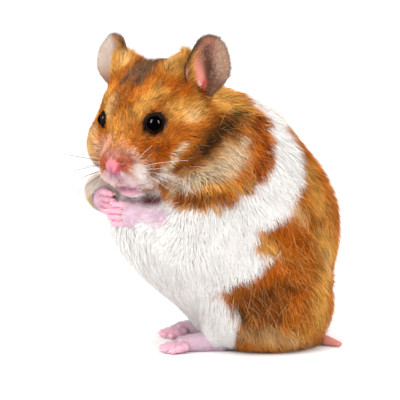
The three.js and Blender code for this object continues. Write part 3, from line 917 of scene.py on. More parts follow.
def joined(parts: list[tuple[Array, Faces]]) -> tuple[Array, Faces]:
    """Returns several meshes as one list of vertices and one of faces."""
    count, triangles, quads = 0, [], []
    for vertices, faces in parts:
        moved = faces.shifted(count)
        triangles.append(moved.triangles)
        quads.append(moved.quads)
        count += len(vertices)
    return np.concatenate([v for v, _ in parts]), Faces(np.concatenate(triangles), np.concatenate(quads))


def isosurface(distance: Callable, low: Array, high: Array, cell: float) -> tuple[Array, Faces]:
    """Returns the surface where a distance is 0, inside a box.

    Args:
        distance: takes rows of points in mm, and gives a value for each, below 0 inside.
        low: the box's lowest corner.
        high: its highest corner.
        cell: the grid's step.

    Returns:
        The vertices in mm, and the faces turned outwards.
    """
    low = np.asarray(low, float)
    counts = np.ceil((np.asarray(high, float) - low) / cell).astype(int) + 1
    axes = [low[k] + cell * np.arange(counts[k]) for k in range(3)]
    points = np.stack(np.meshgrid(*axes, indexing="ij"), axis=-1).reshape(-1, 3)
    chunk = 400000
    values = np.concatenate([distance(points[k:k + chunk]) for k in range(0, len(points), chunk)])
    outside = 4.0
    grid = openvdb.FloatGrid(outside)
    grid.copyFromArray(np.clip(values / cell, -outside, outside).reshape(counts).astype(np.float32))
    found, triangles, quads = grid.convertToPolygons(0.0)
    vertices = low + found.astype(float) * cell
    faces = Faces(triangles.astype(np.int64), quads.astype(np.int64))
    return vertices, outward(vertices, faces, distance)


def outward(vertices: Array, faces: Faces, distance: Callable) -> Faces:
    """Returns the faces with their fronts where the distance grows.

    Args:
        vertices: rows of places in mm.
        faces: the faces to look at.
        distance: the distance that they are a surface of.

    Returns:
        The faces as they are, or turned inside out.
    """
    ring = faces.quads[:: max(1, len(faces.quads) // 200)]
    a, b, d = (vertices[ring[:, k]] for k in (0, 1, 3))
    normal = unit(np.cross(b - a, d - a))
    middle = vertices[ring].mean(axis=1)
    step = 0.2
    rise = distance(middle + normal * step) - distance(middle - normal * step)
    return faces if rise.sum() > 0 else faces.flipped()


# --- the skin


@dataclass(frozen=True)
class EyeSizes:
    """One eyeball, and the lids' opening in front of it."""

    centre: Point
    gaze: Point
    side: int
    radius: float = 3.4
    lid_ahead: float = 0.75
    lid_radius: float = 0.42
    corner: float = 0.55
    corner_width: float = 0.45
    corner_ahead: float = 0.9
    bare_margin: float = 0.3
    lid_line: Point = (1.0, 0.0, -0.35)

    @property
    def middle(self) -> Array:
        """The eyeball's centre."""
        return HEAD.at(self.centre)

    def axes(self) -> Array:
        """Returns forward along the lids, up across them, and out, as rows."""
        out = unit(HEAD.turn(self.gaze))
        ahead = across(HEAD.turn(self.lid_line), out)
        return np.array([ahead, np.cross(out, ahead) * self.side, out])

    def away(self, points: Array) -> Array:
        """Returns how far each point is from the eyeball's centre."""
        return np.linalg.norm(points - self.middle, axis=1)

    def lid_distance(self, points: Array) -> Array:
        """Returns the distance to the lids' rolled edge.

        The edge is a ring round the gaze, drawn out to a point at the front corner.
        """
        local = (points - self.middle) @ self.axes().T
        angle = np.arctan2(local[:, 1], local[:, 0])
        drawn = self.corner * np.exp(-((angle / self.corner_width) ** 2))
        ring = math.sqrt(self.radius**2 - self.lid_ahead**2) + drawn
        sideways = np.hypot(local[:, 0], local[:, 1]) - ring
        ahead = local[:, 2] - self.lid_ahead + self.corner_ahead * drawn
        return np.hypot(sideways, ahead) - self.lid_radius


EYES = {
    "left": EyeSizes((0.7, 10.0, -0.8), (0.6, 0.79, 0.08), 1, radius=3.25, lid_ahead=0.3),
    "right": EyeSizes((2.0, -7.9, 0.9), (0.34, -0.93, 0.1), -1, radius=2.3, lid_ahead=0.7),
}


@dataclass(frozen=True)
class MuzzleSizes:
    """Nose pad, nostrils, the split under the nose, and the mouth, in head axes."""

    middle: Point = (8.5, 0.0, -13.5)
    reach: float = 9.5
    pad: Point = (12.0, 0.0, -10.8)
    pad_radii: Point = (2.4, 3.1, 2.6)
    nostril: tuple = ((14.0, 0.5, -13.5), (14.1, 1.6, -12.6), (13.8, 2.6, -11.5), (13.2, 3.1, -10.4))
    nostril_radius: float = 0.46
    crease: tuple = ((14.4, 0.0, -10.8), (13.0, 0.0, -14.0), (11.0, 0.0, -18.2))
    crease_radius: float = 0.3
    mouth: tuple = ((10.9, 0.0, -18.7), (10.0, 2.6, -19.3), (8.2, 5.0, -19.9))
    mouth_radius: float = 0.4
    lips_radius: float = 1.1
    lip: Point = (6.9, 0.0, -20.9)
    lip_radii: Point = (2.0, 4.0, 1.5)
    pad_blend: float = 0.8
    lip_blend: float = 1.0
    cut_blend: float = 0.35
    bare_crease: float = 0.5

    def line_distance(self, points: Array, line: tuple) -> Array:
        """Returns the distance to a line of points and to its image across the head."""
        found = []
        for side in SIDES:
            path = HEAD.at([head_mirrored(p, side) for p in line])
            found += [RoundCone(*ends, 0.0, 0.0).distance(points) for ends in zip(path[:-1], path[1:])]
        return np.min(found, axis=0)

    def pad_distance(self, points: Array) -> Array:
        """Returns how far each point is outside the nose pad."""
        return head_lump(self.pad, self.pad_radii).distance(points)

    def carved(self, base: Array, points: Array) -> Array:
        """Returns the muzzle's distance with pad and lip added and the openings cut.

        Args:
            base: the distance to the plain muzzle at each point.
            points: rows of places in mm.

        Returns:
            The new distance at each point.
        """
        total = melted(base, self.pad_distance(points), self.pad_blend)
        total = melted(total, head_lump(self.lip, self.lip_radii).distance(points), self.lip_blend)
        for line, radius in ((self.nostril, self.nostril_radius), (self.crease, self.crease_radius),
                             (self.mouth, self.mouth_radius)):
            total = -melted(-total, self.line_distance(points, line) - radius, self.cut_blend)
        return total

    def bare(self, points: Array) -> Array:
        """Returns how far each point is from the bare skin of nose and lips."""
        lips = self.line_distance(points, self.mouth) - self.lips_radius
        crease = self.line_distance(points, self.crease) - self.bare_crease
        return np.minimum(np.minimum(self.pad_distance(points), lips), crease)


MUZZLE = MuzzleSizes()


@dataclass(frozen=True)
class DigitShape:
    """A finger or a toe: two bones, a knuckle between them and a pad at the tip."""

    knuckle_at: float = 0.45
    bone: float = 0.9
    tip_bone: float = 0.86
    bone_blend: float = 0.3
    knuckle_blend: float = 0.5
    pad_blend: float = 0.4

    def outline(self, root: Array, tip: Array, limb: "Limb") -> Outline:
        """Returns one digit from its root to its tip, webbed to its neighbours.

        Args:
            root: where the digit starts.
            tip: the middle of its tip.
            limb: the paw or foot that it is on.

        Returns:
            The digit, as one part of the limb.
        """
        knuckle = root + (tip - root) * self.knuckle_at
        middle = (limb.root_radius + limb.tip_radius) / 2
        return Outline([
            RoundCone(root, knuckle, limb.root_radius, middle * self.bone),
            RoundCone(knuckle, tip, middle * self.bone, limb.tip_radius * self.tip_bone, self.bone_blend),
            Ellipsoid(knuckle, (middle * limb.bulge,) * 3, self.knuckle_blend),
            Ellipsoid(tip, (limb.tip_radius,) * 3, self.pad_blend),
        ], limb.web)


DIGIT = DigitShape()
FLOOR_GAP = 0.12


class Limb:
    """What a forepaw and a hind foot share: their digits and how they are meshed."""

    cell = 0.24

    def digits(self) -> list[Outline]:
        """Returns the outline of each digit."""
        return [DIGIT.outline(root, tip, self) for root, tip in self.ends()]

    def tips(self) -> Array:
        """Returns the tip of each digit."""
        return np.array([tip for _, tip in self.ends()])

    def mesh(self) -> tuple[Array, Faces]:
        """Returns the skin of the whole paw, flat where it would pass the floor."""
        whole = Outline(self.base() + self.digits())

        def distance(points: Array) -> Array:
            """Returns the distance to the paw, cut off just above the floor."""
            return np.maximum(whole.distance(points), FLOOR_GAP * 0.5 - points[:, 2])

        ends = np.array([p for row in self.ends() for p in row] + list(self.anchors()))
        low, high = ends.min(axis=0) - self.margin, ends.max(axis=0) + self.margin
        return isosurface(distance, low, high, self.cell)


@dataclass(frozen=True)
class PawSizes(Limb):
    """One forepaw: the palm, and four fingers from the knuckles."""

    palm: Point
    radii: Point
    knuckle: Point
    reach: Point
    wrist: Point

    levels: tuple = (3.0, 1.0, -1.0, -3.0)
    lengths: tuple = (0.75, 1.0, 1.0, 0.8)
    root_radius: float = 1.3
    tip_radius: float = 0.95
    root_spread: float = 0.9
    tip_spread: float = 1.02
    bulge: float = 1.12
    web: float = 0.7
    skin_depth: float = 0.25
    wrist_radii: tuple = (2.4, 2.6)
    wrist_blend: float = 1.5
    margin: float = 5.6

    def ends(self) -> list[tuple[Array, Array]]:
        """Returns the root and tip of each finger."""
        rows = []
        for level, length in zip(self.levels, self.lengths):
            root = np.array(self.knuckle) + (0, 0, level * self.root_spread)
            tip = np.array(self.knuckle) + np.array(self.reach) * length + (0, 0, level * self.tip_spread)
            rows.append((root, tip))
        return rows

    def base(self) -> list:
        """Returns the palm and the wrist that it runs into."""
        palm = Ellipsoid(self.palm, tuple(r - self.skin_depth for r in self.radii))
        return [palm, RoundCone(self.wrist, self.palm, *self.wrist_radii, self.wrist_blend)]

    def anchors(self) -> tuple:
        """Returns the places besides the fingers that the mesh goes round."""
        return (self.palm, self.wrist)

    def lie(self) -> Point:
        """Returns the way its down lies."""
        return self.reach


PAWS = {
    "left": PawSizes((12.8, -32.6, 44.3), (3.3, 5.6, 4.1), (11.4, -36, 44.4), (-3.4, -5.6, -0.2),
                     ARM_LEFT.wrist),
    "right": PawSizes((-1, -42.4, 47.6), (3.9, 3.3, 3.8), (1.4, -42.6, 47.4), (2.6, 2.9, -0.9),
                      ARM_RIGHT.wrist),
}


@dataclass(frozen=True)
class FootSizes(Limb):
    """One hind foot: heel, ball and five toes."""

    heel: Point
    ball: Point
    side: int

    heel_radius: float = 3.3
    ball_radius: float = 2.3
    ankle_step: Point = (0.3, -1.0, 1.6)
    offsets: tuple = (-3.8, -2.0, 0.0, 2.0, 3.8)
    lengths: tuple = (4.4, 6.2, 6.7, 6.1, 4.2)
    root_radius: float = 1.4
    tip_radius: float = 0.95
    root_height: float = 2.0
    tip_height: float = 1.25
    root_spread: float = 0.8
    tip_spread: float = 1.3
    bulge: float = 1.1
    web: float = 0.6
    shin_blend: float = 1.0
    margin: float = 4.2

    def ends(self) -> list[tuple[Array, Array]]:
        """Returns the root and tip of each toe."""
        rows = []
        x, y, _ = self.ball
        for offset, length in zip(self.offsets, self.lengths):
            root = np.array([x + offset * self.root_spread * self.side, y, self.root_height])
            tip = np.array([x + offset * self.tip_spread * self.side, y - length, self.tip_height])
            rows.append((root, tip))
        return rows

    def base(self) -> list:
        """Returns the sole and the start of the shin."""
        ankle = np.array(self.heel) + mirrored(self.ankle_step, self.side)
        return [
            RoundCone(self.heel, self.ball, self.heel_radius, self.ball_radius),
            RoundCone(self.heel, ankle, self.heel_radius, self.heel_radius, self.shin_blend),
        ]

    def anchors(self) -> tuple:
        """Returns the places besides the toes that the mesh goes round."""
        return (self.heel,)

    def lie(self) -> Point:
        """Returns the way its down lies."""
        return (0.0, -1.0, -0.2)


FEET = {
    "left": FootSizes((12, -7, 3.2), (12.5, -19, 2.3), 1),
    "right": FootSizes((-12, -3, 3.2), (-12.5, -15, 2.3), -1),
}
TAIL = RoundCone((7.5, 24.5, 2.4), (14.2, 31.4, 1.0), 2.3, 0.9, 1.4)


@dataclass(frozen=True)
class Skin:
    """The one skin of trunk, head and limbs, with finer patches round eyes and muzzle."""

    low: tuple = (-30, -50, -1.2)
    high: tuple = (30, 36, 102.6)
    body_cell: float = 0.6
    fine_cell: float = 0.2
    depth_far_off: float = 2.0
    band: float = 6.0
    dive: float = 1.2
    dive_edge: tuple = (0.3, 1.8)
    eye_reach: float = 5.4
    eye_gap: float = 0.08
    lid_blend: float = 0.5
    margin: float = 0.6

    def body_distance(self, points: Array) -> Array:
        """Returns the distance to the whole skin, dipped where a finer patch covers it."""
        patches = [(HEAD.at(MUZZLE.middle), MUZZLE.reach)]
        patches += [(eye.middle, self.eye_reach) for eye in EYES.values()]
        away = [reach - np.linalg.norm(points - middle, axis=1) for middle, reach in patches]
        return self.smooth_distance(points) + self.dive * ramp(np.max(away, axis=0), *self.dive_edge)

    def smooth_distance(self, points: Array) -> Array:
        """Returns the outline's distance, less the coat's depth, with tail and floor."""
        total = BODY.distance(points)
        close = np.abs(total) < self.band
        depth = np.full(len(points), self.depth_far_off)
        depth[close] = COAT_MAP.at(points[close]).depth
        total = melted(total + depth, TAIL.distance(points), TAIL.blend)
        return np.maximum(total, FLOOR_GAP - points[:, 2])

    def patch(self, middle: Array, reach: float, shaped: Callable) -> tuple[Array, Faces]:
        """Returns a fine round patch of skin.

        Args:
            middle: the centre of the patch.
            reach: how far it goes from there.
            shaped: takes the skin's distance and the points, and returns the distance
                with the patch's own forms.
        """

        def distance(points: Array) -> Array:
            """Returns the distance to the shaped skin, cut off at the patch's reach."""
            total = shaped(self.smooth_distance(points), points)
            return np.maximum(total, np.linalg.norm(points - middle, axis=1) - reach)

        around = reach + self.margin
        return isosurface(distance, middle - around, middle + around, self.fine_cell)

    def eye_patch(self, eye: EyeSizes) -> tuple[Array, Faces]:
        """Returns the skin round one eye: the socket and the lids' rolled edge."""

        def shaped(base: Array, points: Array) -> Array:
            """Returns the distance with the socket cut and the lids' edge added."""
            socket = eye.radius - self.eye_gap - eye.away(points)
            return melted(np.maximum(base, socket), eye.lid_distance(points), self.lid_blend)

        return self.patch(eye.middle, self.eye_reach, shaped)

    def muzzle_patch(self) -> tuple[Array, Faces]:
        """Returns the skin of the muzzle's front, with nose and mouth."""
        return self.patch(HEAD.at(MUZZLE.middle), MUZZLE.reach, MUZZLE.carved)

    def body(self) -> tuple[Array, Faces]:
        """Returns the skin of everything but the patches, the paws and the feet."""
        return isosurface(self.body_distance, self.low, self.high, self.body_cell)


class Feature(Enum):
    """What a layer of the muzzle's colour goes by."""

    PAD = "distance to the nose pad"
    CREASE = "distance to the crease"
    MOUTH = "distance to the mouth"
    NOSTRIL = "distance to a nostril"
    INWARD = "how far towards the middle plane, 0 on it"
    HEIGHT = "height in head axes"


@dataclass(frozen=True)
class Layer:
    """One layer of the muzzle's colour, full up to one value of a feature and gone at another.

    Also is a second feature with its two values, by which the layer is cut off.
    """

    shade: Shade
    feature: Feature
    full: float
    none: float
    strength: float = 1.0
    light: float = 1.0
    also: tuple = ()


class BareSkin:
    """Paints the skin: the coat's own colour paled to pink, and the bare places."""

    pink_share = 0.08
    under_dark, under_white = 0.6, 0.97
    lid_shade, lid_fade = linear(20, 13, 12), (0.5, 1.6)
    muzzle_layers = (
        Layer(Shade.ROSE, Feature.PAD, 0.4, 3.0),
        Layer(Shade.NOSE, Feature.PAD, -0.2, 0.9),
        Layer(Shade.RUST, Feature.PAD, 0.2, 1.6, 0.6, also=(Feature.INWARD, -2.8, -1.6)),
        Layer(Shade.MAUVE, Feature.PAD, 0.1, 1.2, 0.55, also=(Feature.HEIGHT, -13.4, -12.2)),
        Layer(Shade.MAUVE, Feature.CREASE, 0.3, 1.2, 0.7),
        Layer(Shade.ORCHID, Feature.HEIGHT, -19.5, -18.5, 0.75),
        Layer(Shade.MAUVE, Feature.MOUTH, 1.3, 2.3),
        # Painted shade: crimson in and round the nostrils, and a near-black line along the mouth.
        Layer(Shade.CRIMSON_SHADE, Feature.NOSTRIL, 0.4, 1.2, 0.8),
        Layer(Shade.CRIMSON_SHADE, Feature.MOUTH, 0.25, 0.6, light=0.3),
    )
    # Painted shade between the digits: how it fades, its reach from the nearest digit, and its strength.
    gap_fade, gap_reach, gap_strength = (0.1, 0.8), (0.2, 0.7), 0.6
    back_fade = (0.0, 2.5)
    patch_size, patch_salt, patch_strength = 2.2, 11, 0.55
    tip_light = 1.02
    tail_fade, tail_from, tail_light = (0.2, 0.9), (25.5, 27.5), 0.9

    def under_coat(self, points: Array) -> Array:
        """Returns the skin's colour under the coat."""
        colour = MARKINGS.colours(BODY.project(points, np.zeros(len(points))))
        paled = colour * mix(self.under_dark, self.under_white, whiteness(colour))
        return mix(paled, Shade.PINK.colour, self.pink_share)

    def muzzle(self, points: Array) -> Array:
        """Returns the muzzle's colours: pink pad, mauve lips, and painted shade in the nostrils and along
        the mouth.
        """
        local = HEAD.local(points)
        values = {
            Feature.PAD: MUZZLE.pad_distance(points),
            Feature.CREASE: MUZZLE.line_distance(points, MUZZLE.crease),
            Feature.MOUTH: MUZZLE.line_distance(points, MUZZLE.mouth),
            Feature.NOSTRIL: MUZZLE.line_distance(points, MUZZLE.nostril),
            Feature.INWARD: -np.abs(local[:, 1]),
            Feature.HEIGHT: local[:, 2],
        }
        colour = self.under_coat(points)
        for layer in self.muzzle_layers:
            share = near(values[layer.feature], layer.full, layer.none)
            if layer.also:
                share = share * near(values[layer.also[0]], *layer.also[1:])
            colour = tint(colour, layer.shade.colour * layer.light, layer.strength * share)
        return colour

    def eye(self, points: Array, eye: EyeSizes) -> Array:
        """Returns the colours round one eye: dark lids."""
        return tint(self.under_coat(points), self.lid_shade, near(eye.lid_distance(points), *self.lid_fade))

    def limb(self, points: Array, limb: Limb) -> Array:
        """Returns a paw's colours: pink at the tips, lilac at the back, and painted shade in dark red
        between the digits.
        """
        each = np.sort(np.stack([d.distance(points) for d in limb.digits()], axis=1), axis=1)
        # Painted shade in the gaps between the digits.
        between = near(each[:, 1] - np.maximum(each[:, 0], 0.0), *self.gap_fade)
        between = between * near(each[:, 0], *self.gap_reach)
        patch = 0.5 + 0.5 * value_noise(points, self.patch_size, self.patch_salt)
        pale = np.maximum(ramp(each[:, 0], *self.back_fade), self.patch_strength * patch)
        colour = tint(Shade.PINK.colour * self.tip_light, Shade.LILAC.colour, pale)
        return tint(colour, Shade.CRIMSON_SHADE.colour, self.gap_strength * between)

    def body(self, points: Array) -> Array:
        """Returns the body's colours, with the bare tail in them."""
        bare = near(TAIL.distance(points), *self.tail_fade) * ramp(points[:, 1], *self.tail_from)
        return tint(self.under_coat(points), Shade.ROSE.colour * self.tail_light, bare)


# --- the coat


@dataclass(frozen=True)
class TuftShape:
    """How one tuft is built: a flattened three-sided spike over a bent path."""

    sides: int = 3
    flatness: float = 0.55
    ring_shares: tuple = (0.62, 1.0)
    skin_normal_share: float = 0.84
    patch: float = 0.003
    tip_lean: float = 0.3


TUFT = TuftShape()


def tuft_rings(path: Array, normals: Array, widths: Array) -> tuple[Array, Array]:
    """Returns the vertices of many tufts and their shading normals.

    A ring of three points lies round each point of the path but the last, at
    width / 2 sideways and less off the skin. The last point is the tip.

    Args:
        path: (count, points, 3) in mm, from root to tip.
        normals: the skin's directions out at those points.
        widths: the width of each tuft in mm.

    Returns:
        Rows of vertices, tuft by tuft, and one normal for each.
    """
    count, stops = path.shape[0], path.shape[1]
    ahead = unit(np.concatenate([path[:, 1:] - path[:, :-1], path[:, -1:] - path[:, -2:-1]], axis=1))
    ahead[:, 1:-1] = unit(ahead[:, 1:-1] + ahead[:, :-2])
    side = unit(np.cross(ahead, normals))
    up = np.cross(side, ahead)
    rings, shading = [], []
    for stop in range(stops - 1):
        for corner in range(TUFT.sides):
            angle = math.pi / 2 + corner * 2 * math.pi / TUFT.sides
            outward_way = math.cos(angle) * side[:, stop] + TUFT.flatness * math.sin(angle) * up[:, stop]
            half = (widths * TUFT.ring_shares[stop] / 2)[:, None]
            rings.append(path[:, stop] + half * outward_way)
            shading.append(mix(unit(outward_way), normals[:, stop], TUFT.skin_normal_share))
    rings.append(path[:, -1])
    shading.append(normals[:, -1] + TUFT.tip_lean * ahead[:, -1])
    vertices = np.stack(rings, axis=1).reshape(-1, 3)
    return vertices, unit(np.stack(shading, axis=1).reshape(count * len(rings), 3))


def tuft_faces(count: int, rings: int) -> Faces:
    """Returns the triangles of many tufts: the sides, the point and the root's cap.

    Args:
        count: how many tufts.
        rings: how many rings each has below its tip.

    Returns:
        The faces, tuft by tuft.
    """
    rows = []
    for ring in range(rings - 1):
        for k in range(TUFT.sides):
            near, far = ring * TUFT.sides + k, ring * TUFT.sides + (k + 1) % TUFT.sides
            rows.append((near, far + TUFT.sides, far))
            rows.append((near, near + TUFT.sides, far + TUFT.sides))
    last = (rings - 1) * TUFT.sides
    tip = rings * TUFT.sides
    for k in range(TUFT.sides):
        rows.append((last + k, tip, last + (k + 1) % TUFT.sides))
    rows.append((0, 1, 2))
    one = np.array(rows)
    shifts = (np.arange(count) * (tip + 1))[:, None, None]
    return Faces(triangles=(one[None] + shifts).reshape(-1, 3))


@dataclass
class Tufts:
    """Many tufts before they are meshes: paths, normals, widths and colours."""

    path: Array
    normals: Array
    widths: Array
    colours: Array
    places: Array

    def part(self, chosen: Array) -> "Tufts":
        """Returns the chosen tufts."""
        return Tufts(self.path[chosen], self.normals[chosen], self.widths[chosen],
                     self.colours[chosen], self.places[chosen])


def tuft_piece(name: str, tufts: Tufts) -> bpy.types.Object:
    """Makes one coat piece, with its colours, its shading normals and its unwrap.

    Args:
        name: the piece's name.
        tufts: the tufts in it.

    Returns:
        The object, not yet dressed.
    """
    vertices, normals = tuft_rings(tufts.path, tufts.normals, tufts.widths)
    count, rings = len(tufts.path), tufts.path.shape[1] - 1
    vertices[:, 2] = np.maximum(vertices[:, 2], FLOOR_GAP)
    piece = new_mesh(name, vertices, tuft_faces(count, rings))
    corners = [np.repeat(tufts.colours[:, ring:ring + 1], TUFT.sides, axis=1) for ring in range(rings)]
    colours = np.concatenate(corners + [tufts.colours[:, rings:]], axis=1)
    set_colours(piece, "Hair", colours.reshape(-1, 3))
    along = np.concatenate([np.repeat(np.arange(rings), TUFT.sides), [rings]]) / rings - 0.5
    around = np.concatenate([np.tile(np.arange(TUFT.sides) / (TUFT.sides - 1) - 0.5, rings), [0.0]])
    spread = TUFT.patch * np.stack([around, along], axis=1)
    set_uv(piece, "OFBake", (tufts.places[:, None] + spread[None]).reshape(-1, 2))
    piece.data.normals_split_custom_set_from_vertices(normals)
    return piece


def scattered(corners: Array, density: Array, random: np.random.Generator) -> tuple[Array, Array]:
    """Returns points spread over triangles at so many a square mm, and their normals.

    Args:
        corners: (count, 3, 3), the triangles' corners in mm.
        density: points a square mm on each.
        random: the draws of chance.

    Returns:
        The points, and one normal for each.
    """
    crossed = np.cross(corners[:, 1] - corners[:, 0], corners[:, 2] - corners[:, 0])
    area = np.linalg.norm(crossed, axis=1) / 2
    picks = random.poisson(area * density)
    chosen = np.repeat(np.arange(len(picks)), picks)
    first, second = random.random((2, len(chosen), 1))
    over = (first + second) > 1.0
    first, second = np.where(over, 1.0 - first, first), np.where(over, 1.0 - second, second)
    a, b, c = (corners[chosen, k] for k in range(3))
    return a + first * (b - a) + second * (c - a), unit(crossed[chosen])


def unwrapped(way: Array) -> Array:
    """Returns the place on the unwrap of each direction from the inside."""
    margin = 0.02
    round_about = np.arctan2(way[:, 0], -way[:, 1]) / (2 * math.pi) + 0.5
    rise = np.arcsin(np.clip(way[:, 2], -1.0, 1.0)) / math.pi + 0.5
    return margin + (1.0 - 2.0 * margin) * np.stack([round_about, rise], axis=1)


@dataclass(frozen=True)
class ShortHair:
    """How a short hair is bent: it starts in the skin, rises, and lies down again."""

    root_depth: float = 0.05
    mid_share: float = 0.5
    mid_lift: float = 0.8
    widths: tuple = (0.7, 1.3)

    def paths(self, roots: Array, normals: Array, ahead: Array, reach: Array, lift: Array) -> Array:
        """Returns the paths of many short hairs, each of three points.

        Args:
            roots: where they grow.
            normals: the directions out there.
            ahead: the directions that they lie in.
            reach: their lengths in mm, one in each row.
            lift: the rise of their tips, as a vector for a length of 1.

        Returns:
            Points as (count, 3, 3), from root to tip.
        """
        middle = roots + ahead * reach * self.mid_share + lift * reach * self.mid_lift
        tip = roots + ahead * reach + lift * reach
        return np.stack([roots - normals * self.root_depth, middle, tip], axis=1)


SHORT_HAIR = ShortHair()


@dataclass
class Down:
    """The sparse fine hair on the bare skin of a paw or a foot."""

    vertices: Array
    faces: Faces
    limb: Limb
    seed: int = 17
    density: float = 12.0
    length: float = 1.5
    lengths: tuple = (0.6, 1.3)
    width: float = 0.085
    lift: tuple = (0.1, 0.45)
    turn_spread: float = 0.35
    bare_tip: tuple = (1.2, 7.2)
    deepest: float = -1.5
    lowest: float = 0.6
    white_share: float = 0.6

    def __post_init__(self) -> None:
        """Works out the triangles' corners, and starts the draws of chance."""
        self.corners = self.vertices[self.faces.as_triangles()]
        self.random = np.random.default_rng(self.seed)

    def tufts(self) -> Tufts:
        """Returns the hair, lying towards the digits and thinning out on them."""
        random = self.random
        middles = self.corners.mean(axis=1)
        to_tips = np.linalg.norm(middles[:, None] - self.limb.tips(), axis=2).min(axis=1)
        density = self.density * ramp(to_tips, *self.bare_tip)
        density *= (BODY.distance(middles) > self.deepest) & (middles[:, 2] > self.lowest)
        roots, normals = scattered(self.corners, density, random)
        count = len(roots)
        lie = np.array(self.limb.lie(), float)
        ahead = across(lie + self.turn_spread * random.standard_normal((count, 3)), normals)
        reach = (self.length * random.uniform(*self.lengths, count))[:, None]
        lift = normals * random.uniform(*self.lift, count)[:, None]
        path = above_floor(SHORT_HAIR.paths(roots, normals, ahead, reach, lift))
        shade = mix(Shade.LILAC.colour, Shade.WHITE.colour, self.white_share * random.random((count, 1)))
        places = unwrapped(unit(roots - middles.mean(axis=0)))
        widths = self.width * random.uniform(*SHORT_HAIR.widths, count)
        return Tufts(path, repeated(normals), widths, repeated(shade), places)


def repeated(rows: Array) -> Array:
    """Returns each row three times, for the three points of a hair."""
    return np.repeat(rows[:, None], 3, axis=1)


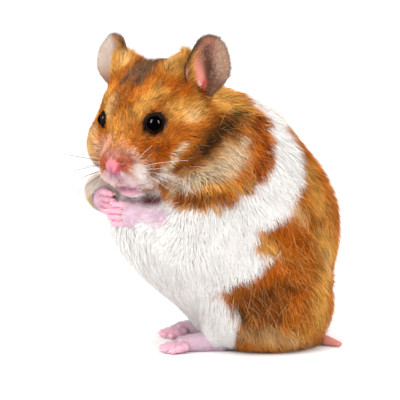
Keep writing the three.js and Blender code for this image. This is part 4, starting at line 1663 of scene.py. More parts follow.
@dataclass
class Coat:
    """The fur: thin tufts rooted in the skin, lying along the body out to the outline."""

    vertices: Array
    faces: Faces
    seed: int = 11
    most_in_piece: int = 19500
    mid_share: float = 0.48
    tip_share: float = 0.97
    mid_depth: float = 0.42
    tip_depth: float = 0.06
    mid_lift: float = 0.5
    lengths: tuple = (0.78, 0.44)
    widths: tuple = (0.75, 0.5)
    turn_spread: float = 0.26
    stray_turn: float = 2.2
    turn_noises: tuple = ((0.4, 5.0, 21), (0.2, 2.2, 22))
    tip_spread: float = 0.3
    tip_sink: float = 1.2
    clump_cells: tuple = (1.344, 3.6)
    long_from: float = 4.6
    clump_wobble: float = 0.8
    clump_wobble_size: float = 3.0
    clump_salts: tuple = (31, 32, 33)
    clump_pull: float = 0.5
    white_clump_loss: float = 0.8
    nose_gap: float = 0.12
    nose_fringe: float = 0.8
    tail_gap: float = 0.4
    bare_tail_from: float = 29.5
    sole_height: float = 0.9
    sole_slope: float = -0.85
    palm_gap: float = -0.6
    stray_share: float = 0.05
    stray_loss_white: float = 0.7
    stray_loss_head: float = 0.75
    stray_length: float = 1.35
    stray_width: float = 0.4
    stray_lifts: tuple = (0.15, 0.75)
    stray_rise: float = 0.1
    white_spread: float = 0.4
    white_width: float = 0.8
    trunk_middle: tuple = (0.0, 2.0, 38.0)
    head_middle: tuple = (-9.0, 0.0, -6.0)

    def __post_init__(self) -> None:
        """Works out the triangles' corners, and starts the draws of chance."""
        self.random = np.random.default_rng(self.seed)
        self.corners = self.vertices[self.faces.as_triangles()]

    def roots(self) -> Array:
        """Returns roots spread over the skin by area and by the zones' density."""
        density = COAT_MAP.at(self.corners.mean(axis=1)).density
        return scattered(self.corners, density, self.random)[0]

    def grows(self, points: Array, normals: Array) -> Array:
        """Returns whether hair grows at each point."""
        bare = MUZZLE.bare(points) < self.nose_gap - self.nose_fringe * self.random.random(len(points))
        bare |= (TAIL.distance(points) < self.tail_gap) & (points[:, 1] > self.bare_tail_from)
        bare |= (points[:, 2] < self.sole_height) & (normals[:, 2] < self.sole_slope)
        for eye in EYES.values():
            bare |= eye.away(points) < eye.radius + eye.bare_margin
        for paw in PAWS.values():
            bare |= Ellipsoid(paw.palm, paw.radii).distance(points) < self.palm_gap
        return ~bare

    def lies(self, roots: Array, normals: Array, wanted: Array, stray: Array) -> Array:
        """Returns the way each tuft lies: the zones' way, turned a little by chance.

        Neighbours in the same lump of the coat turn together, and stray hairs turn more.

        Args:
            roots: where the tufts grow.
            normals: the directions out there.
            wanted: the zones' way.
            stray: whether each is a stray hair.

        Returns:
            One direction for each tuft, at length 1.
        """
        flat = across(wanted, normals)
        side = np.cross(normals, flat)
        lump = sum(share * value_noise(roots, size, salt) for share, size, salt in self.turn_noises)
        spread = self.turn_spread * np.where(stray, self.stray_turn, 1.0)
        turn = (lump + spread * self.random.standard_normal(len(roots)))[:, None]
        return np.cos(turn) * flat + np.sin(turn) * side

    def lifts(self, growth: Growth, length: Array, plain: Array, stray: Array, chance: Array) -> Array:
        """Returns how far each tip stands off the outline in mm: little in the white, much if stray.

        Args:
            growth: the coat at the roots.
            length: the tufts' lengths in mm.
            plain: how white the coat is there.
            stray: whether each is a stray hair.
            chance: one draw from 0 to 1 for each.

        Returns:
            One height in mm for each tuft.
        """
        spread = self.tip_spread * mix(1.0, self.white_spread, plain)
        lift = spread * growth.depth * (2.0 * chance - self.tip_sink)
        stray_lift = (self.stray_lifts[0] + self.stray_lifts[1] * chance) * growth.depth + self.stray_rise
        return np.where(stray, stray_lift, lift) + growth.rise * length * chance

    def grown(self) -> Tufts:
        """Returns all tufts of the coat.

        Each starts on the skin. Its middle and its tip are set at shares of the
        coat's depth under the outline, and the tip is drawn into its clump.
        """
        roots = self.roots()
        roots = BODY.project(roots, -COAT_MAP.at(roots).depth)
        normals = BODY.normal(roots)
        keep = self.grows(roots, normals)
        roots, normals = roots[keep], normals[keep]
        growth = COAT_MAP.at(roots)
        chance = self.random.random((4, len(roots)))
        in_head = head_share(roots)
        plain = MARKINGS.white.cover(roots) * (1.0 - in_head)
        stray_share = self.stray_share * (1.0 - self.stray_loss_white * plain)
        stray = chance[1] < stray_share * (1.0 - self.stray_loss_head * in_head)
        length = growth.length * (self.lengths[0] + self.lengths[1] * chance[0])
        length = length * np.where(stray, self.stray_length, 1.0)
        ahead = self.lies(roots, normals, growth.lie, stray)
        lift = self.lifts(growth, length, plain, stray, chance[2])
        middle = roots + ahead * (length * self.mid_share)[:, None]
        middle = BODY.project(middle, -self.mid_depth * growth.depth + self.mid_lift * lift)
        tip = roots + ahead * (length * self.tip_share)[:, None]
        clump = self.clumps(roots, growth.length)
        pull = self.clump_pull * (1.0 - self.white_clump_loss * plain)
        tip = np.where(stray[:, None], tip, self.drawn(tip, clump, pull))
        tip = BODY.project(tip, -self.tip_depth * growth.depth + lift)
        path = above_floor(np.stack([roots, middle, tip], axis=1))
        normal_path = np.stack([normals, BODY.normal(middle), BODY.normal(tip)], axis=1)
        widths = growth.width * (self.widths[0] + self.widths[1] * chance[3])
        widths = widths * np.where(stray, self.stray_width, 1.0) * mix(1.0, self.white_width, plain)
        colours = CoatColours(self.random).of(path, stray, clump)
        return Tufts(path, normal_path, widths, colours, self.places(roots))

    def clumps(self, roots: Array, length: Array) -> Array:
        """Returns the number of the clump that each root is in.

        Clumps are wobbly cells, of one size in the short coat and of another in the long.

        Args:
            roots: where the tufts grow.
            length: the coat's length there in mm.

        Returns:
            One whole number for each root.
        """
        wobble = self.clump_wobble * noise_vectors(roots, self.clump_wobble_size, self.clump_salts)
        is_long = length > self.long_from
        cell = np.where(is_long, self.clump_cells[1], self.clump_cells[0])[:, None]
        rows = np.concatenate([np.floor((roots + wobble) / cell), is_long[:, None]], axis=1)
        _, clump = np.unique(rows.astype(np.int64), axis=0, return_inverse=True)
        return clump.reshape(-1)

    def drawn(self, tips: Array, clump: Array, pull: Array) -> Array:
        """Returns the tips drawn towards the middle of their clump, by a chance share of the pull.

        Args:
            tips: the tips in mm.
            clump: the number of each one's clump.
            pull: the most that each is drawn.

        Returns:
            The new tips.
        """
        count = np.bincount(clump)
        middle = np.stack([np.bincount(clump, tips[:, k]) / count for k in range(3)], axis=1)
        return tint(tips, middle[clump], pull * self.random.random(len(tips)))

    def places(self, roots: Array) -> Array:
        """Returns each root's place on the unwrap: its direction from the inside.

        The trunk's directions run round the upright, and the head's round its
        forward line. Each is one chart, kept a margin inside the square.
        """
        upright = roots - np.array(self.trunk_middle)
        local = HEAD.local(roots) - np.array(self.head_middle)
        return unwrapped(unit(np.where(head_share(roots)[:, None] > 0.5, local[:, [1, 2, 0]], upright)))

    def pieces(self) -> list[bpy.types.Object]:
        """Makes the coat's pieces, of the head first and then of the body."""
        tufts = self.grown()
        in_head = head_share(tufts.path[:, 0]) > 0.5
        made = []
        for name, chosen in (("head", np.nonzero(in_head)[0]), ("body", np.nonzero(~in_head)[0])):
            order = self.random.permutation(chosen)
            parts = np.array_split(order, math.ceil(len(order) / self.most_in_piece))
            for number, part in enumerate(parts, start=1):
                made.append(tuft_piece(f"coat_{name}_{number}", tufts.part(part)))
            LOG.info("coat of the %s: %d tufts in %d pieces", name, len(order), len(parts))
        return made


@dataclass
class CoatColours:
    """Colours each tuft a little lighter or darker than its neighbours.

    White hair varies least. Roots are darker, tips lighter, and some tips black.
    """

    random: np.random.Generator
    seen_share: float = 0.6
    tuft_spread: float = 0.2
    clump_spread: float = 0.15
    warm_spread: float = 0.06
    noises: tuple = ((0.24, 3.4, 41), (0.144, 1.8, 42))
    warmth: tuple = (1.0, 0.0, -1.0)
    white_vary: float = 0.22
    lightness: tuple = (0.45, 1.7)
    brightest: float = 0.96
    root_levels: tuple = (0.42, 0.98)
    tip_levels: tuple = (1.25, 1.02)
    tick_share: float = 0.12
    tick_level: float = 0.35
    tick_whitest: float = 0.3
    straw_share: float = 0.6
    straw_whitest: float = 0.5

    def of(self, path: Array, stray: Array, clump: Array) -> Array:
        """Returns the colours of root, middle and tip of each tuft.

        Args:
            path: the points of each tuft.
            stray: whether it is a stray hair.
            clump: the number of its clump.

        Returns:
            Colours as (count, 3, 3).
        """
        random, count = self.random, len(path)
        outer = mix(path[:, 1], path[:, 2], self.seen_share)
        colour = MARKINGS.colours(outer)
        white = whiteness(colour)
        vary = mix(1.0, self.white_vary, white)
        change = self.tuft_spread * random.standard_normal((count, 1))
        change += self.clump_spread * random.standard_normal(clump.max() + 1)[clump][:, None]
        change += sum(share * value_noise(outer, size, salt) for share, size, salt in self.noises)[:, None]
        warm = self.warm_spread * random.standard_normal((count, 1)) * np.array(self.warmth)
        colour = colour * np.clip(1.0 + vary * change, *self.lightness) * (1.0 + vary * warm)
        colour = np.clip(colour, 0.0, self.brightest)
        root = colour * mix(*self.root_levels, white)
        ticked = (random.random((count, 1)) < self.tick_share) & (white < self.tick_whitest)
        tip = np.minimum(colour * mix(*self.tip_levels, white), self.brightest)
        tip = np.where(ticked, colour * self.tick_level, tip)
        pale = mix(tip, Shade.STRAW.colour, self.straw_share)
        tip = np.where(stray[:, None] & (white < self.straw_whitest), pale, tip)
        middle = np.where(stray[:, None], mix(colour, tip, 0.5), colour)
        return np.stack([root, middle, tip], axis=1)


def above_floor(path: Array) -> Array:
    """Returns the path with nothing under the floor."""
    raised = path.copy()
    raised[..., 2] = np.maximum(raised[..., 2], FLOOR_GAP * 2)
    return raised


# --- ears, eyes, claws, whiskers


@dataclass(frozen=True)
class EarSizes:
    """One ear: a thin cupped leaf, in the ear's own directions."""

    centre: Point
    facing: Point
    rising: Point
    height: float
    width: float
    side: int
    mantle_to: float
    dark_rim: float
    pale: float
    cup: float = 2.2
    cup_below: float = 3.4
    fold: float = 1.3
    fold_at: float = 0.14
    fold_width: float = 0.2
    outer_curl: float = 1.3
    front_curl: float = 1.5
    thickness: float = 0.5
    narrowing: float = 0.42
    rings: int = 40
    spokes: int = 96


EARS = {
    "left": EarSizes((-19.8, 18.6, 10.1), (0.761, 0.647, -0.038), (-0.297, 0.141, 0.9),
                     11.1, 7.0, 1, -0.8, 1.0, 0.0, cup_below=1.8, front_curl=3.0),
    "right": EarSizes((-19.2, -15.4, 11.0), (0.96, -0.18, 0.214), (-0.45, 0.081, 0.9),
                      10.6, 7.1, -1, -0.45, 0.3, 1.0),
}


class EarPaint:
    """Colours an ear by where a point is: s from the front edge to the outer one, t upwards. The fold's
    shadow is painted in.
    """

    inner = linear(152, 98, 78)
    high = (linear(160, 120, 98), linear(214, 198, 184))
    low = (linear(112, 76, 58), linear(168, 128, 108))
    edge = linear(84, 52, 38)
    # Painted shadow of the fold that runs up the leaf.
    fold_shadow = linear(92, 54, 40)
    rosy = linear(226, 140, 130)
    foot, foot_fade = linear(64, 36, 26), (0.78, 0.9)
    rise, flange = (-0.5, 0.3), (0.1, 0.5)
    # Each row: start and end of a line over the leaf, its reach, colour and strength.
    spots = (
        ((-0.8, 0.1), (-0.1, -0.5), 0.55, rosy, 1.0),
        # The next two rows paint the fold's shadow.
        ((-0.1, 0.5), (0.22, -0.2), 0.34, fold_shadow, 0.9),
        ((0.3, 0.0), (0.3, -0.7), 0.3, fold_shadow, 0.7),
        ((-0.5, -0.36), (-0.16, -0.6), 0.17, linear(250, 196, 184), 1.0),
        ((0.0, -0.62), (0.05, -0.5), 0.2, linear(200, 62, 52), 1.0),
    )
    spot_soft = 0.9
    front_lean = 0.5
    front_rim, front_side, front_rise = (0.72, 0.92), (-0.3, 0.2), (-0.1, 0.3)
    rim, rim_share = (0.9, 1.0), 0.6

    def colours(self, radius: Array, angle: Array, sizes: EarSizes) -> Array:
        """Returns the inner face's colours."""
        s, t = radius * np.cos(angle), radius * np.sin(angle)
        low, high = mix(*self.low, sizes.pale), mix(*self.high, sizes.pale)
        colour = tint(self.inner, tint(low, high, ramp(t, *self.rise)), ramp(s, *self.flange))
        flat = np.stack([s, t], axis=1)
        for start, end, reach, shade, strength in self.spots:
            cover = polyline_cover(flat, np.array([start, end]), np.array([reach, reach]))
            colour = tint(colour, shade, strength * ramp(cover, 0.0, self.spot_soft))
        colour = tint(colour, self.foot, ramp(-t, *self.foot_fade))
        front = ramp(radius, *self.front_rim) * ramp(-s - self.front_lean * t, *self.front_side)
        front = np.maximum(front * ramp(t, *self.front_rise), self.rim_share * ramp(radius, *self.rim))
        return tint(colour, self.edge, sizes.dark_rim * front)


class EarPart(Enum):
    """The parts of an ear that hair grows on."""

    BACK = -1
    RIM = 0
    INSIDE = 1
    MANTLE = 2


@dataclass(frozen=True)
class EarHair:
    """The hair of one part of an ear.

    Shares say how far out from the middle it grows, sides between which s, and
    rises how steeply it stands.
    """

    part: EarPart
    count: int
    shares: tuple
    sides: tuple
    length: float
    width: float
    rises: tuple = (0.04, 0.14)


class EarHairColours:
    """The colours of an ear's hair: brown on the back, pale inside, golden in the mantle."""

    bases = {
        EarPart.BACK: linear(150, 108, 76),
        EarPart.INSIDE: linear(206, 180, 158),
        EarPart.MANTLE: Shade.GOLD.colour,
    }
    rims = (linear(176, 142, 116), linear(124, 90, 70))
    low_inside, low_fade = linear(150, 112, 84), (0.1, 0.5)
    rosy_side, rosy_low, rosy_share = (0.0, 0.3), (-0.4, 0.0), 0.9
    brown_share = 0.22
    foot_fade, foot_share = (0.55, 0.85), 0.8
    spread, brightest = 0.18, 0.9

    def of(self, part: EarPart, radius: Array, angle: Array, rim: float,
           random: np.random.Generator) -> Array:
        """Returns one colour for each hair.

        Args:
            part: where on the ear it is.
            radius: share of the way from the middle to the rim.
            angle: angle from the outer side towards the top.
            rim: how dark the ear's rim is.
            random: the source of chance.

        Returns:
            Linear colours as (count, 3).
        """
        s, t = radius * np.cos(angle), radius * np.sin(angle)
        colour = np.tile(self.bases.get(part, mix(*self.rims, rim)), (len(radius), 1))
        if part is EarPart.INSIDE:
            colour = tint(colour, self.low_inside, ramp(-t, *self.low_fade))
            rosy = ramp(-s, *self.rosy_side) * ramp(-t, *self.rosy_low)
            colour = tint(colour, EarPaint.rosy, self.rosy_share * rosy)
        if part is EarPart.MANTLE:
            brown = random.random((len(radius), 1)) < self.brown_share
            colour = np.where(brown, Shade.BROWN.colour, colour)
        if part in (EarPart.BACK, EarPart.RIM):
            colour = tint(colour, Shade.UMBER.colour, self.foot_share * ramp(-t, *self.foot_fade))
        change = self.spread * random.standard_normal((len(radius), 1))
        return np.clip(colour * (1 + change), 0.0, self.brightest)


def ring_quads(rings: int, spokes: int) -> Array:
    """Returns the quads between closed rings of points, as rows of vertex numbers."""
    ring = np.arange(rings - 1)[:, None] * spokes
    spoke = np.arange(spokes)[None]
    after = (spoke + 1) % spokes
    quads = [ring + spoke, ring + spokes + spoke, ring + spokes + after, ring + after]
    return np.stack(quads, axis=-1).reshape(-1, 4)


@dataclass
class Ear:
    """One ear's leaf, its inner colours and the fine hair on its back and rim."""

    sizes: EarSizes
    levels: tuple = (0.65, 1.0, 1.15)
    brightest: float = 0.95
    ring_power: float = 0.85
    rim_swell: float = 0.5
    rim_from: tuple = (0.8, 0.95)
    ahead: float = 0.6
    low_cup: tuple = (0.1, 1.0)
    cup_loss: float = 0.6
    outer_from: tuple = (0.45, 1.0)
    front_from: tuple = (0.5, 1.0)
    wave: float = 0.25
    wave_count: float = 3.0
    wave_start: float = 0.6
    wave_from: tuple = (0.5, 1.0)
    probe: float = 0.02
    mantle_ways: tuple = (0.35, -0.5)
    hair_upward: float = 0.9
    hair_spread: float = 0.25
    hair_lengths: tuple = (0.55, 1.2)
    chart_half: float = 0.24
    chart_height: float = 0.45
    hairs: tuple = (
        EarHair(EarPart.BACK, 4200, (0.05, 1.0), (-1.0, 1.0), 1.5, 0.10),
        EarHair(EarPart.INSIDE, 2600, (0.25, 1.0), (0.2, 1.0), 1.1, 0.06),
        EarHair(EarPart.INSIDE, 900, (0.2, 0.9), (-0.8, 0.3), 0.8, 0.05),
        EarHair(EarPart.RIM, 1500, (0.94, 1.0), (-1.0, 1.0), 0.7, 0.07, (-0.1, 0.2)),
        EarHair(EarPart.MANTLE, 2600, (0.0, 1.0), (-1.0, 1.0), 3.4, 0.15, (0.25, 0.7)),
    )

    def __post_init__(self) -> None:
        """Works out the ear's own directions, outer, rising and facing, and its centre."""
        facing = unit(HEAD.turn(self.sizes.facing))
        rising = across(HEAD.turn(self.sizes.rising), facing)
        outer = np.cross(rising, facing) * self.sizes.side
        self.axes = np.array([outer, rising, facing])
        self.centre = HEAD.at(self.sizes.centre)

    def leaf(self, radius: Array, angle: Array) -> Array:
        """Returns points of the leaf's inner face, in the row frame.

        At share r of the way to the rim and angle a, the leaf is at
        (width r cos a, height r sin a), and sinks by cup (1 - r r) behind the rim,
        more near its foot. A fold runs up it, the outer and the front edge curl
        forwards, and the foot is narrower.

        Args:
            radius: share of the way from the middle to the rim.
            angle: angle from the outer side towards the top.

        Returns:
            One point for each.
        """
        z = self.sizes
        upwards = radius * np.sin(angle)
        sideways = radius * np.cos(angle) * (1.0 - z.narrowing * ramp(-upwards, 0.0, 1.0))
        low = z.cup_below * ramp(-upwards, *self.low_cup) * (1.0 - self.cup_loss * radius**2)
        sink = z.cup * (1.0 - radius**2) + low
        fold = z.fold * np.exp(-(((sideways - z.fold_at) / z.fold_width) ** 2)) * (1.0 - radius**4)
        curl = z.outer_curl * ramp(sideways, *self.outer_from)
        curl = curl + z.front_curl * ramp(-sideways, *self.front_from)
        wave = self.wave * np.sin(self.wave_count * angle + self.wave_start) * ramp(radius, *self.wave_from)
        forward = self.ahead - sink - fold + curl + wave
        return self.centre + np.stack([z.width * sideways, z.height * upwards, forward], axis=-1) @ self.axes

    def piece(self, name: str) -> bpy.types.Object:
        """Makes the leaf: an inner and an outer face, joined round the rim."""
        z = self.sizes
        shares = np.linspace(0.0, 1.0, z.rings) ** self.ring_power
        angles = np.linspace(0.0, 2 * math.pi, z.spokes, endpoint=False)
        radius, angle = (grid.ravel() for grid in np.meshgrid(shares, angles, indexing="ij"))
        front = self.leaf(radius, angle)
        swell = z.thickness * (1.0 + self.rim_swell * ramp(radius, *self.rim_from))
        vertices = np.concatenate([front, front - swell[:, None] * self.axes[2]])
        quads = ring_quads(z.rings, z.spokes)
        count = len(front)
        rim = count - z.spokes + np.arange(z.spokes)
        after = np.roll(rim, -1)
        edge = np.stack([rim, rim + count, after + count, after], axis=1)
        faces = Faces(quads=np.concatenate([quads, quads[:, ::-1] + count, edge]))
        made = new_mesh(name, vertices, faces if z.side > 0 else faces.flipped())
        set_colours(made, "Hair", np.tile(EarPaint().colours(radius, angle, z), (2, 1)))
        return made

    def hair(self, random: np.random.Generator) -> Tufts:
        """Returns the hair of back, inner face, rim and the golden mantle before the ear."""
        parts = [self.patch(random, hair) for hair in self.hairs]
        keys = ("path", "normals", "widths", "colours", "places")
        return Tufts(*(np.concatenate([getattr(part, key) for part in parts]) for key in keys))

    def patch(self, random: np.random.Generator, hair: EarHair) -> Tufts:
        """Returns the hair of one part of the ear, lying towards its rim and tip."""
        part = hair.part
        radius = np.sqrt(random.uniform(hair.shares[0] ** 2, hair.shares[1] ** 2, hair.count))
        angle = random.uniform(0, 2 * math.pi, hair.count)
        s = radius * np.cos(angle)
        outermost = self.sizes.mantle_to if part is EarPart.MANTLE else hair.sides[1]
        inside = (s >= hair.sides[0]) & (s <= outermost)
        radius, angle = radius[inside], angle[inside]
        count = len(radius)
        behind = {EarPart.BACK: np.ones(count), EarPart.RIM: random.random(count)}.get(part, np.zeros(count))
        face = self.leaf(radius, angle)
        here = face - (self.sizes.thickness * behind)[:, None] * self.axes[2]
        away = self.leaf(radius + self.probe, angle) - face
        round_it = self.leaf(radius, angle + self.probe) - face
        turned = -1.0 if part is EarPart.BACK else 1.0
        normal = unit(np.cross(away, round_it)) * turned * self.sizes.side
        upward = across(self.axes[1], normal)
        outwards = unit(away)
        if part is EarPart.MANTLE:
            outwards = self.mantle_ways[0] * self.axes[0] + self.mantle_ways[1] * self.axes[2]
        chance = self.hair_spread * random.standard_normal(here.shape)
        ahead = unit(outwards + self.hair_upward * upward + chance)
        if part is not EarPart.RIM:
            ahead = across(ahead, normal)
        reach = (hair.length * random.uniform(*self.hair_lengths, count))[:, None]
        lift = normal * random.uniform(*hair.rises, count)[:, None]
        path = SHORT_HAIR.paths(here, normal, ahead, reach, lift)
        colour = EarHairColours().of(part, radius, angle, self.sizes.dark_rim, random)
        colours = np.minimum(colour[:, None] * np.array(self.levels)[:, None], self.brightest)
        mirror, chart = (-1 if part is EarPart.BACK else 1), np.clip(part.value, -1, 1)
        places = np.stack([0.5 + self.chart_half * (mirror * radius * np.cos(angle) + chart),
                           0.5 + self.chart_height * radius * np.sin(angle)], axis=1)
        widths = hair.width * random.uniform(*SHORT_HAIR.widths, count)
        return Tufts(path, repeated(normal), widths, colours, places)


@dataclass(frozen=True)
class Eyeball:
    """A black ball with a brown ring near the edge of what shows."""

    eye: EyeSizes
    rings: int = 48
    spokes: int = 64
    black: Colour = (3, 3, 4)
    brown: Colour = (36, 20, 14)
    edge: tuple = (1.05, 1.4)

    def piece(self, name: str) -> bpy.types.Object:
        """Makes the ball from rings round the gaze: radius times (sin p cos t, sin p sin t, cos p)."""
        polar = np.linspace(0.0, math.pi, self.rings)
        turn = np.linspace(0.0, 2 * math.pi, self.spokes, endpoint=False)
        p, t = (grid.ravel() for grid in np.meshgrid(polar, turn, indexing="ij"))
        ball = self.eye.radius * np.stack([np.sin(p) * np.cos(t), np.sin(p) * np.sin(t), np.cos(p)], axis=-1)
        axes, faces = self.eye.axes(), Faces(quads=ring_quads(self.rings, self.spokes))
        faces = faces.flipped() if np.linalg.det(axes) < 0 else faces
        made = new_mesh(name, self.eye.middle + ball @ axes, faces)
        set_colours(made, "Hair", tint(linear(*self.black), linear(*self.brown), ramp(p, *self.edge)))
        return made


def tubes(paths: Array, radii: Array, sides: int) -> tuple[Array, Faces]:
    """Returns many tapered tubes, each along its own row of points.

    Args:
        paths: (count, stops, 3) in mm.
        radii: one radius in mm for each stop.
        sides: corners of each ring.

    Returns:
        The vertices, tube by tube and ring by ring, and the faces with both caps.
    """
    count, stops = paths.shape[:2]
    ahead = unit(np.gradient(paths, axis=1))
    helper = np.where(np.abs(ahead[..., 2:]) > 0.9, (1.0, 0.0, 0.0), (0.0, 0.0, 1.0))
    side = unit(np.cross(ahead, helper))
    up = np.cross(side, ahead)
    angle = np.linspace(0.0, 2 * math.pi, sides, endpoint=False)
    ring = np.cos(angle)[:, None] * side[:, :, None] + np.sin(angle)[:, None] * up[:, :, None]
    vertices = paths[:, :, None] + radii[None, :, None, None] * ring
    fan = np.arange(1, sides - 1)
    root = np.stack([0 * fan, fan + 1, fan], axis=-1)
    end = np.stack([0 * fan, fan, fan + 1], axis=-1) + (stops - 1) * sides
    shift = (np.arange(count) * stops * sides)[:, None, None]
    quads = ring_quads(stops, sides)[:, [0, 3, 2, 1]]
    caps = np.concatenate([(cap + shift).reshape(-1, 3) for cap in (root, end)])
    return vertices.reshape(-1, 3), Faces(caps, (quads + shift).reshape(-1, 4))


@dataclass(frozen=True)
class Claws:
    """A claw that leaves a digit's tip along the digit and bends down."""

    length: float = 1.15
    root_radius: float = 0.42
    tip_radius: float = 0.06
    taper: float = 0.8
    droop: float = 0.4
    sink: float = 0.5
    rise: float = 0.25
    stops: int = 7
    sides: int = 8
    shade: Colour = (240, 214, 206)

    def piece(self, name: str, limb: Limb) -> bpy.types.Object:
        """Makes a claw for each digit of a forepaw or a hind foot."""
        roots, tips = (np.array(ends) for ends in zip(*limb.ends()))
        ahead = unit(tips - roots)
        start = tips + ahead * (limb.tip_radius - self.sink) + (0.0, 0.0, self.rise)
        along = np.linspace(0.0, 1.0, self.stops)
        paths = start[:, None] + ahead[:, None] * ((self.length + self.sink) * along)[None, :, None]
        paths[:, :, 2] -= self.droop * along**2
        radii = self.root_radius + (self.tip_radius - self.root_radius) * along**self.taper
        vertices, faces = tubes(paths, radii, self.sides)
        made = new_mesh(name, vertices, faces)
        set_colours(made, "Hair", np.tile(linear(*self.shade), (len(vertices), 1)))
        return made


@dataclass(frozen=True)
class WhiskerSet:
    """The whiskers of one side: how they lean, how that changes by step and row, and how long they are."""

    side: int
    lean: Point
    lean_back: float
    lean_down: float
    length: tuple[float, float]


@dataclass(frozen=True)
class Whiskers:
    """The whiskers: thin and tapered, swept back on the left, out and forwards on the right."""

    seed: int = 5
    rows: tuple = ((9.4, 6.0, -10.6), (8.4, 7.2, -12.0), (8.8, 6.8, -13.4), (7.4, 7.8, -14.6))
    in_row: int = 5
    row_step: tuple = (-0.8, 0.28, -0.2)
    root_radius: float = 0.08
    tip_radius: float = 0.03
    taper: float = 0.7
    stops: int = 14
    sides: int = 5
    sets: tuple = (
        WhiskerSet(1, (-0.15, 0.95, 0.85), -0.24, -0.5, (9.0, 2.4)),
        WhiskerSet(-1, (0.28, 0.95, 0.22), -0.1, -0.26, (15.0, 2.6)),
    )
    lean_spread: float = 0.12
    length_spread: tuple = (-2.0, 3.0)
    bow: tuple = (-0.15, 0.0, -0.15)
    dark_ends: tuple = ((70, 52, 44), (96, 78, 70))
    pale_ends: tuple = ((206, 190, 178), (236, 228, 220))
    pale_every: int = 3

    def paths(self) -> Array:
        """Returns each whisker's points: out from the pad, in a bow."""
        random = np.random.default_rng(self.seed)
        along = np.linspace(0.0, 1.0, self.stops)[:, None]
        paths = []
        for z, row, step in itertools.product(self.sets, range(len(self.rows)), range(self.in_row)):
            base = np.array(self.rows[row]) + np.array(self.row_step) * step
            lean = np.array(z.lean) + (z.lean_back * step, 0.0, z.lean_down * row)
            lean += self.lean_spread * random.standard_normal(3)
            size = z.length[0] + z.length[1] * step + random.uniform(*self.length_spread)
            local = base + unit(lean) * size * along + np.array(self.bow) * size * along**2
            paths.append(HEAD.at(local * np.array([1.0, z.side, 1.0])))
        return np.array(paths)

    def piece(self, name: str) -> bpy.types.Object:
        """Makes the whiskers, darker at the root than at the tip."""
        paths = self.paths()
        along = np.linspace(0.0, 1.0, self.stops)
        radii = self.root_radius + (self.tip_radius - self.root_radius) * along**self.taper
        made = new_mesh(name, *tubes(paths, radii, self.sides))
        dark = np.arange(len(paths))[:, None] % self.pale_every > 0
        root, tip = (
            np.where(dark, linear(*dark_end), linear(*pale_end))[:, None]
            for dark_end, pale_end in zip(self.dark_ends, self.pale_ends)
        )
        share = np.repeat(along, self.sides)[None, :, None]
        set_colours(made, "Hair", mix(root, tip, share).reshape(-1, 3))
        return made


# --- the finishes


class NodeWriter:
    """Adds nodes to one material and joins them."""

    def __init__(self, name: str) -> None:
        """Makes the material, with its node tree and its shader."""
        self.material = bpy.data.materials.new(name)
        self.material.use_nodes = True
        self.tree = self.material.node_tree
        self.shader = self.tree.nodes["Principled BSDF"]

    def add(self, kind: str, **settings: object) -> bpy.types.Node:
        """Adds a node. Settings are its properties, or its inputs by name."""
        node = self.tree.nodes.new(kind)
        for key, value in settings.items():
            if hasattr(node, key):
                setattr(node, key, value)
            else:
                node.inputs[key.replace("_", " ")].default_value = value
        return node

    def link(self, start: bpy.types.NodeSocket, end: bpy.types.NodeSocket) -> None:
        """Joins two sockets."""
        self.tree.links.new(start, end)

    def set(self, **values: float) -> None:
        """Sets the shader's own sockets."""
        for key, value in values.items():
            self.shader.inputs[key.replace("_", " ")].default_value = value


@dataclass(frozen=True)
class Finish:
    """A surface whose colour is stored with its vertices, with fine noise and bump."""

    name: str
    roughness: float
    specular: float
    noise_size: float
    noise_depth: float
    bump: float
    sheen: float = 0.0
    coat: float = 0.0
    scatter: float = 0.0

    def material(self) -> bpy.types.Material:
        """Makes the material.

        The stored colour is darkened by noise on the object's own coordinates, and
        the same noise lifts the surface a little.
        """
        writer = NodeWriter(self.name)
        stored = writer.add("ShaderNodeAttribute", attribute_name="Hair")
        place = writer.add("ShaderNodeTexCoord")
        noise = writer.add("ShaderNodeTexNoise", Scale=1.0 / (self.noise_size * MM), Detail=3.0)
        writer.link(place.outputs["Object"], noise.inputs["Vector"])
        low, high = 1.0 - self.noise_depth, 1.0 + self.noise_depth
        level = writer.add("ShaderNodeMapRange", To_Min=low, To_Max=high)
        writer.link(noise.outputs["Fac"], level.inputs["Value"])
        shade = writer.add("ShaderNodeVectorMath", operation="SCALE")
        writer.link(stored.outputs["Color"], shade.inputs[0])
        writer.link(level.outputs["Result"], shade.inputs["Scale"])
        writer.link(shade.outputs["Vector"], writer.shader.inputs["Base Color"])
        if self.bump:
            lift = writer.add("ShaderNodeBump", Strength=self.bump, Distance=0.2 * MM)
            writer.link(noise.outputs["Fac"], lift.inputs["Height"])
            writer.link(lift.outputs["Normal"], writer.shader.inputs["Normal"])
        writer.set(Roughness=self.roughness, Specular_IOR_Level=self.specular)
        writer.set(Sheen_Weight=self.sheen, Coat_Weight=self.coat, Coat_Roughness=0.05)
        if self.scatter:
            writer.set(Subsurface_Weight=self.scatter, Subsurface_Scale=0.6 * MM)
            writer.shader.inputs["Subsurface Radius"].default_value = (1.0, 0.35, 0.2)
        return writer.material


COAT_FINISH = Finish("coat_hair", 0.7, 0.05, 0.9, 0.10, 0.0)
SKIN_FINISH = Finish("skin", 0.55, 0.35, 0.35, 0.12, 0.45, scatter=0.25)
EAR_FINISH = Finish("ear_skin", 0.6, 0.3, 0.6, 0.12, 0.3, scatter=0.3)
EYE_FINISH = Finish("eye", 0.05, 0.5, 2.0, 0.1, 0.0)
CLAW_FINISH = Finish("claw", 0.35, 0.45, 0.4, 0.08, 0.2)
WHISKER_FINISH = Finish("whisker", 0.4, 0.4, 2.0, 0.05, 0.0)


def dressed(piece: bpy.types.Object, material: bpy.types.Material) -> bpy.types.Object:
    """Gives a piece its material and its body."""
    piece.data.materials.append(material)
    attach(piece, ROOT_BODY)
    return piece


# --- the whole model


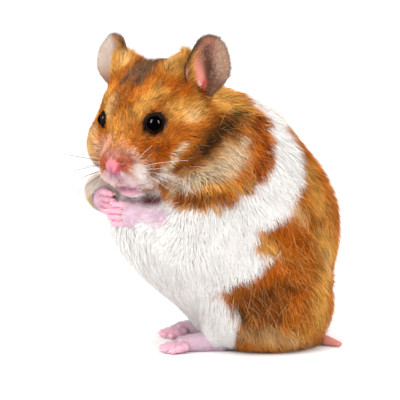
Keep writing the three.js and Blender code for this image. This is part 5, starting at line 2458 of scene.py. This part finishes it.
class Hamster:
    """Builds every piece of the animal in order."""

    flesh = ("trunk", "neck", "head", "tail", "haunch_left", "haunch_right", "arm_left", "arm_right")
    ear_seed = 3

    def __init__(self) -> None:
        """Makes the six materials."""
        self.coat_material = COAT_FINISH.material()
        self.skin_material = SKIN_FINISH.material()
        self.ear_material = EAR_FINISH.material()
        self.eye_material = EYE_FINISH.material()
        self.claw_material = CLAW_FINISH.material()
        self.whisker_material = WHISKER_FINISH.material()

    def skin_piece(self, name: str, parts: list, nodes: tuple) -> None:
        """Makes one piece of skin.

        Args:
            name: the piece's name.
            parts: for each patch of it, its mesh and its colours.
            nodes: the nodes that it stands for.
        """
        vertices, faces = joined([mesh for mesh, _ in parts])
        piece = new_mesh(name, vertices, faces)
        set_colours(piece, "Hair", np.concatenate([colours for _, colours in parts]))
        dressed(piece, self.skin_material)
        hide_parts(*nodes)
        LOG.info("%s: %d vertices", name, len(vertices))

    def build_skin(self) -> tuple[Array, Faces]:
        """Makes the skin in place of the flesh nodes, and returns the body's part of it."""
        skin, paint = Skin(), BareSkin()
        body = skin.body()
        self.skin_piece("skin_of_body", [(body, paint.body(body[0]))], self.flesh)
        muzzle = skin.muzzle_patch()
        face = [(muzzle, paint.muzzle(muzzle[0]))]
        for eye in EYES.values():
            patch = skin.eye_patch(eye)
            face.append((patch, paint.eye(patch[0], eye)))
        self.skin_piece("skin_of_face", face, ("nose",))
        self.build_limbs(paint, "skin_of_forepaws", PAWS, "forepaw", "forepaw")
        self.build_limbs(paint, "skin_of_feet", FEET, "foot", "hind_foot")
        return body

    def build_limbs(self, paint: BareSkin, name: str, limbs: dict[str, Limb], kind: str, node: str) -> None:
        """Makes the skin of two paws or feet as one piece, and their fine hair.

        Args:
            paint: colours the skin.
            name: the piece's name.
            limbs: the left one and the right one.
            kind: what their down is named by.
            node: what the nodes are named by.
        """
        parts = []
        for side, limb in limbs.items():
            mesh = limb.mesh()
            parts.append((mesh, paint.limb(mesh[0], limb)))
            tufts = Down(*mesh, limb).tufts()
            dressed(tuft_piece(f"down_{kind}_{side}", tufts), self.coat_material)
            LOG.info("down of %s %s: %d hairs", kind, side, len(tufts.path))
        self.skin_piece(name, parts, tuple(f"{node}_{side}" for side in limbs))

    def build_coat(self, body: tuple[Array, Faces]) -> None:
        """Makes the coat's pieces over the body's skin."""
        for piece in Coat(*body).pieces():
            dressed(piece, self.coat_material)

    def build_ears(self) -> None:
        """Makes both ears and their hair."""
        random = np.random.default_rng(self.ear_seed)
        for name, sizes in EARS.items():
            ear = Ear(sizes)
            leaf = dressed(ear.piece(f"ear_leaf_{name}"), self.ear_material)
            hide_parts(f"ear_{name}")
            dressed(tuft_piece(f"ear_hair_{name}", ear.hair(random)), self.coat_material)
            LOG.info("ear %s", name)

    def build_eyes(self) -> None:
        """Makes both eyeballs."""
        for name, eye in EYES.items():
            piece = dressed(Eyeball(eye).piece(f"eyeball_{name}"), self.eye_material)
            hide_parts(f"eye_{name}")
            LOG.info("eye %s", name)

    def build_claws(self) -> None:
        """Makes the claws of the four paws."""
        for kind, limbs in (("forepaw", PAWS), ("foot", FEET)):
            for side, limb in limbs.items():
                piece = Claws().piece(f"{kind}_claws_{side}", limb)
                dressed(piece, self.claw_material)
                LOG.info("claws of %s %s", kind, side)

    def build_whiskers(self) -> None:
        """Makes the whiskers."""
        dressed(Whiskers().piece("whiskers"), self.whisker_material)
        LOG.info("whiskers")

    def build(self) -> None:
        """Makes the whole animal."""
        self.build_eyes()
        self.build_ears()
        self.build_claws()
        self.build_whiskers()
        self.build_coat(self.build_skin())


# --- the studio


def aimed(thing: bpy.types.Object, target: Point, way: Array, distance: float) -> None:
    """Puts a camera or a lamp so many mm from the target along a direction, looking back at it."""
    back = Vector(way)
    thing.location = (Vector(target) + back * distance) * MM
    thing.rotation_mode = "QUATERNION"
    thing.rotation_quaternion = (-back).to_track_quat("-Z", "Y")


@dataclass(frozen=True)
class CameraSizes:
    """Where the camera is: its angles, its distance and the point in the middle."""

    azimuth: float = 80.0
    elevation: float = 8.5
    distance: float = 1000.0
    target: Point = (0.0, -11.35, 46.6)
    frame_side: float = 400.0
    focal_pixels: float = 3130.0

    def back(self) -> Array:
        """Returns the direction from the target to the camera."""
        turn, rise = math.radians(self.azimuth), math.radians(self.elevation)
        return np.array([math.sin(turn) * math.cos(rise), -math.cos(turn) * math.cos(rise), math.sin(rise)])

    def right(self) -> Array:
        """Returns the direction to the right of the picture."""
        turn = math.radians(self.azimuth)
        return np.array([math.cos(turn), math.sin(turn), 0.0])

    def up(self) -> Array:
        """Returns the direction to the top of the picture."""
        return np.cross(self.back(), self.right())

    def place(self) -> None:
        """Makes the camera."""
        data = bpy.data.cameras.new("camera")
        data.sensor_width = 36.0
        data.lens = data.sensor_width * self.focal_pixels / self.frame_side
        data.clip_start, data.clip_end = 0.05, 20.0
        camera = bpy.data.objects.new("camera", data)
        bpy.context.scene.collection.objects.link(camera)
        aimed(camera, self.target, self.back(), self.distance)
        bpy.context.scene.camera = camera


CAMERA = CameraSizes()


@dataclass(frozen=True)
class Lamp:
    """An area light, placed by how far right, up and back it is from the animal."""

    name: str
    way: Point
    distance: float
    width: float
    height: float
    power: float
    colour: Colour = (1.0, 1.0, 1.0)
    in_gloss: bool = True

    def place(self) -> None:
        """Makes the light, aimed at the animal."""
        data = bpy.data.lights.new(self.name, "AREA")
        data.shape = "RECTANGLE"
        data.size, data.size_y = self.width * MM, self.height * MM
        data.energy = self.power
        data.color = self.colour
        lamp = bpy.data.objects.new(self.name, data)
        lamp.visible_glossy = self.in_gloss
        bpy.context.scene.collection.objects.link(lamp)
        right, up, back = self.way
        way = unit(CAMERA.right() * right + CAMERA.up() * up + CAMERA.back() * back)
        aimed(lamp, CAMERA.target, way, self.distance)


@dataclass(frozen=True)
class Studio:
    """A plain pale floor, soft light all round, two tall lamps and a wide one above."""

    lamps: tuple = (
        Lamp("lamp_left", (-0.56, 0.50, 0.64), 700.0, 170.0, 400.0, 1.55),
        Lamp("lamp_right", (0.645, 0.42, 0.63), 700.0, 150.0, 370.0, 1.15),
        Lamp("lamp_low", (-0.2, -0.1, 0.97), 700.0, 400.0, 120.0, 0.45, in_gloss=False),
        Lamp("lamp_top", (0.0, 1.0, 0.15), 700.0, 600.0, 600.0, 1.5, in_gloss=False),
    )
    world_strength: float = 1.27
    floor_half: float = 2500.0
    floor_shade: tuple = (0.93, 0.93, 0.93)

    def build(self) -> None:
        """Makes floor, world, lamps and camera."""
        world = bpy.data.worlds.new("studio")
        world.use_nodes = True
        background = world.node_tree.nodes["Background"]
        background.inputs["Color"].default_value = (1.0, 1.0, 1.0, 1.0)
        background.inputs["Strength"].default_value = self.world_strength
        bpy.context.scene.world = world
        world.cycles_visibility.glossy = False
        half = self.floor_half
        corners = np.array([[-half, -half, 0], [half, -half, 0], [half, half, 0], [-half, half, 0]])
        floor = new_mesh("floor", corners, Faces(quads=np.array([[0, 1, 2, 3]])), smooth=False)
        writer = NodeWriter("floor_paper")
        writer.set(Roughness=0.9, Specular_IOR_Level=0.1)
        writer.shader.inputs["Base Color"].default_value = (*self.floor_shade, 1.0)
        floor.data.materials.append(writer.material)
        floor.visible_glossy = False
        for lamp in self.lamps:
            lamp.place()
        CAMERA.place()
        bpy.context.scene.view_settings.view_transform = "Standard"


def main() -> None:
    """Builds the animal and the studio."""
    logging.basicConfig(level=logging.INFO, format="%(name)s: %(message)s")
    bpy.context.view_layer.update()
    Hamster().build()
    Studio().build()


if __name__ == "__main__":
    main()
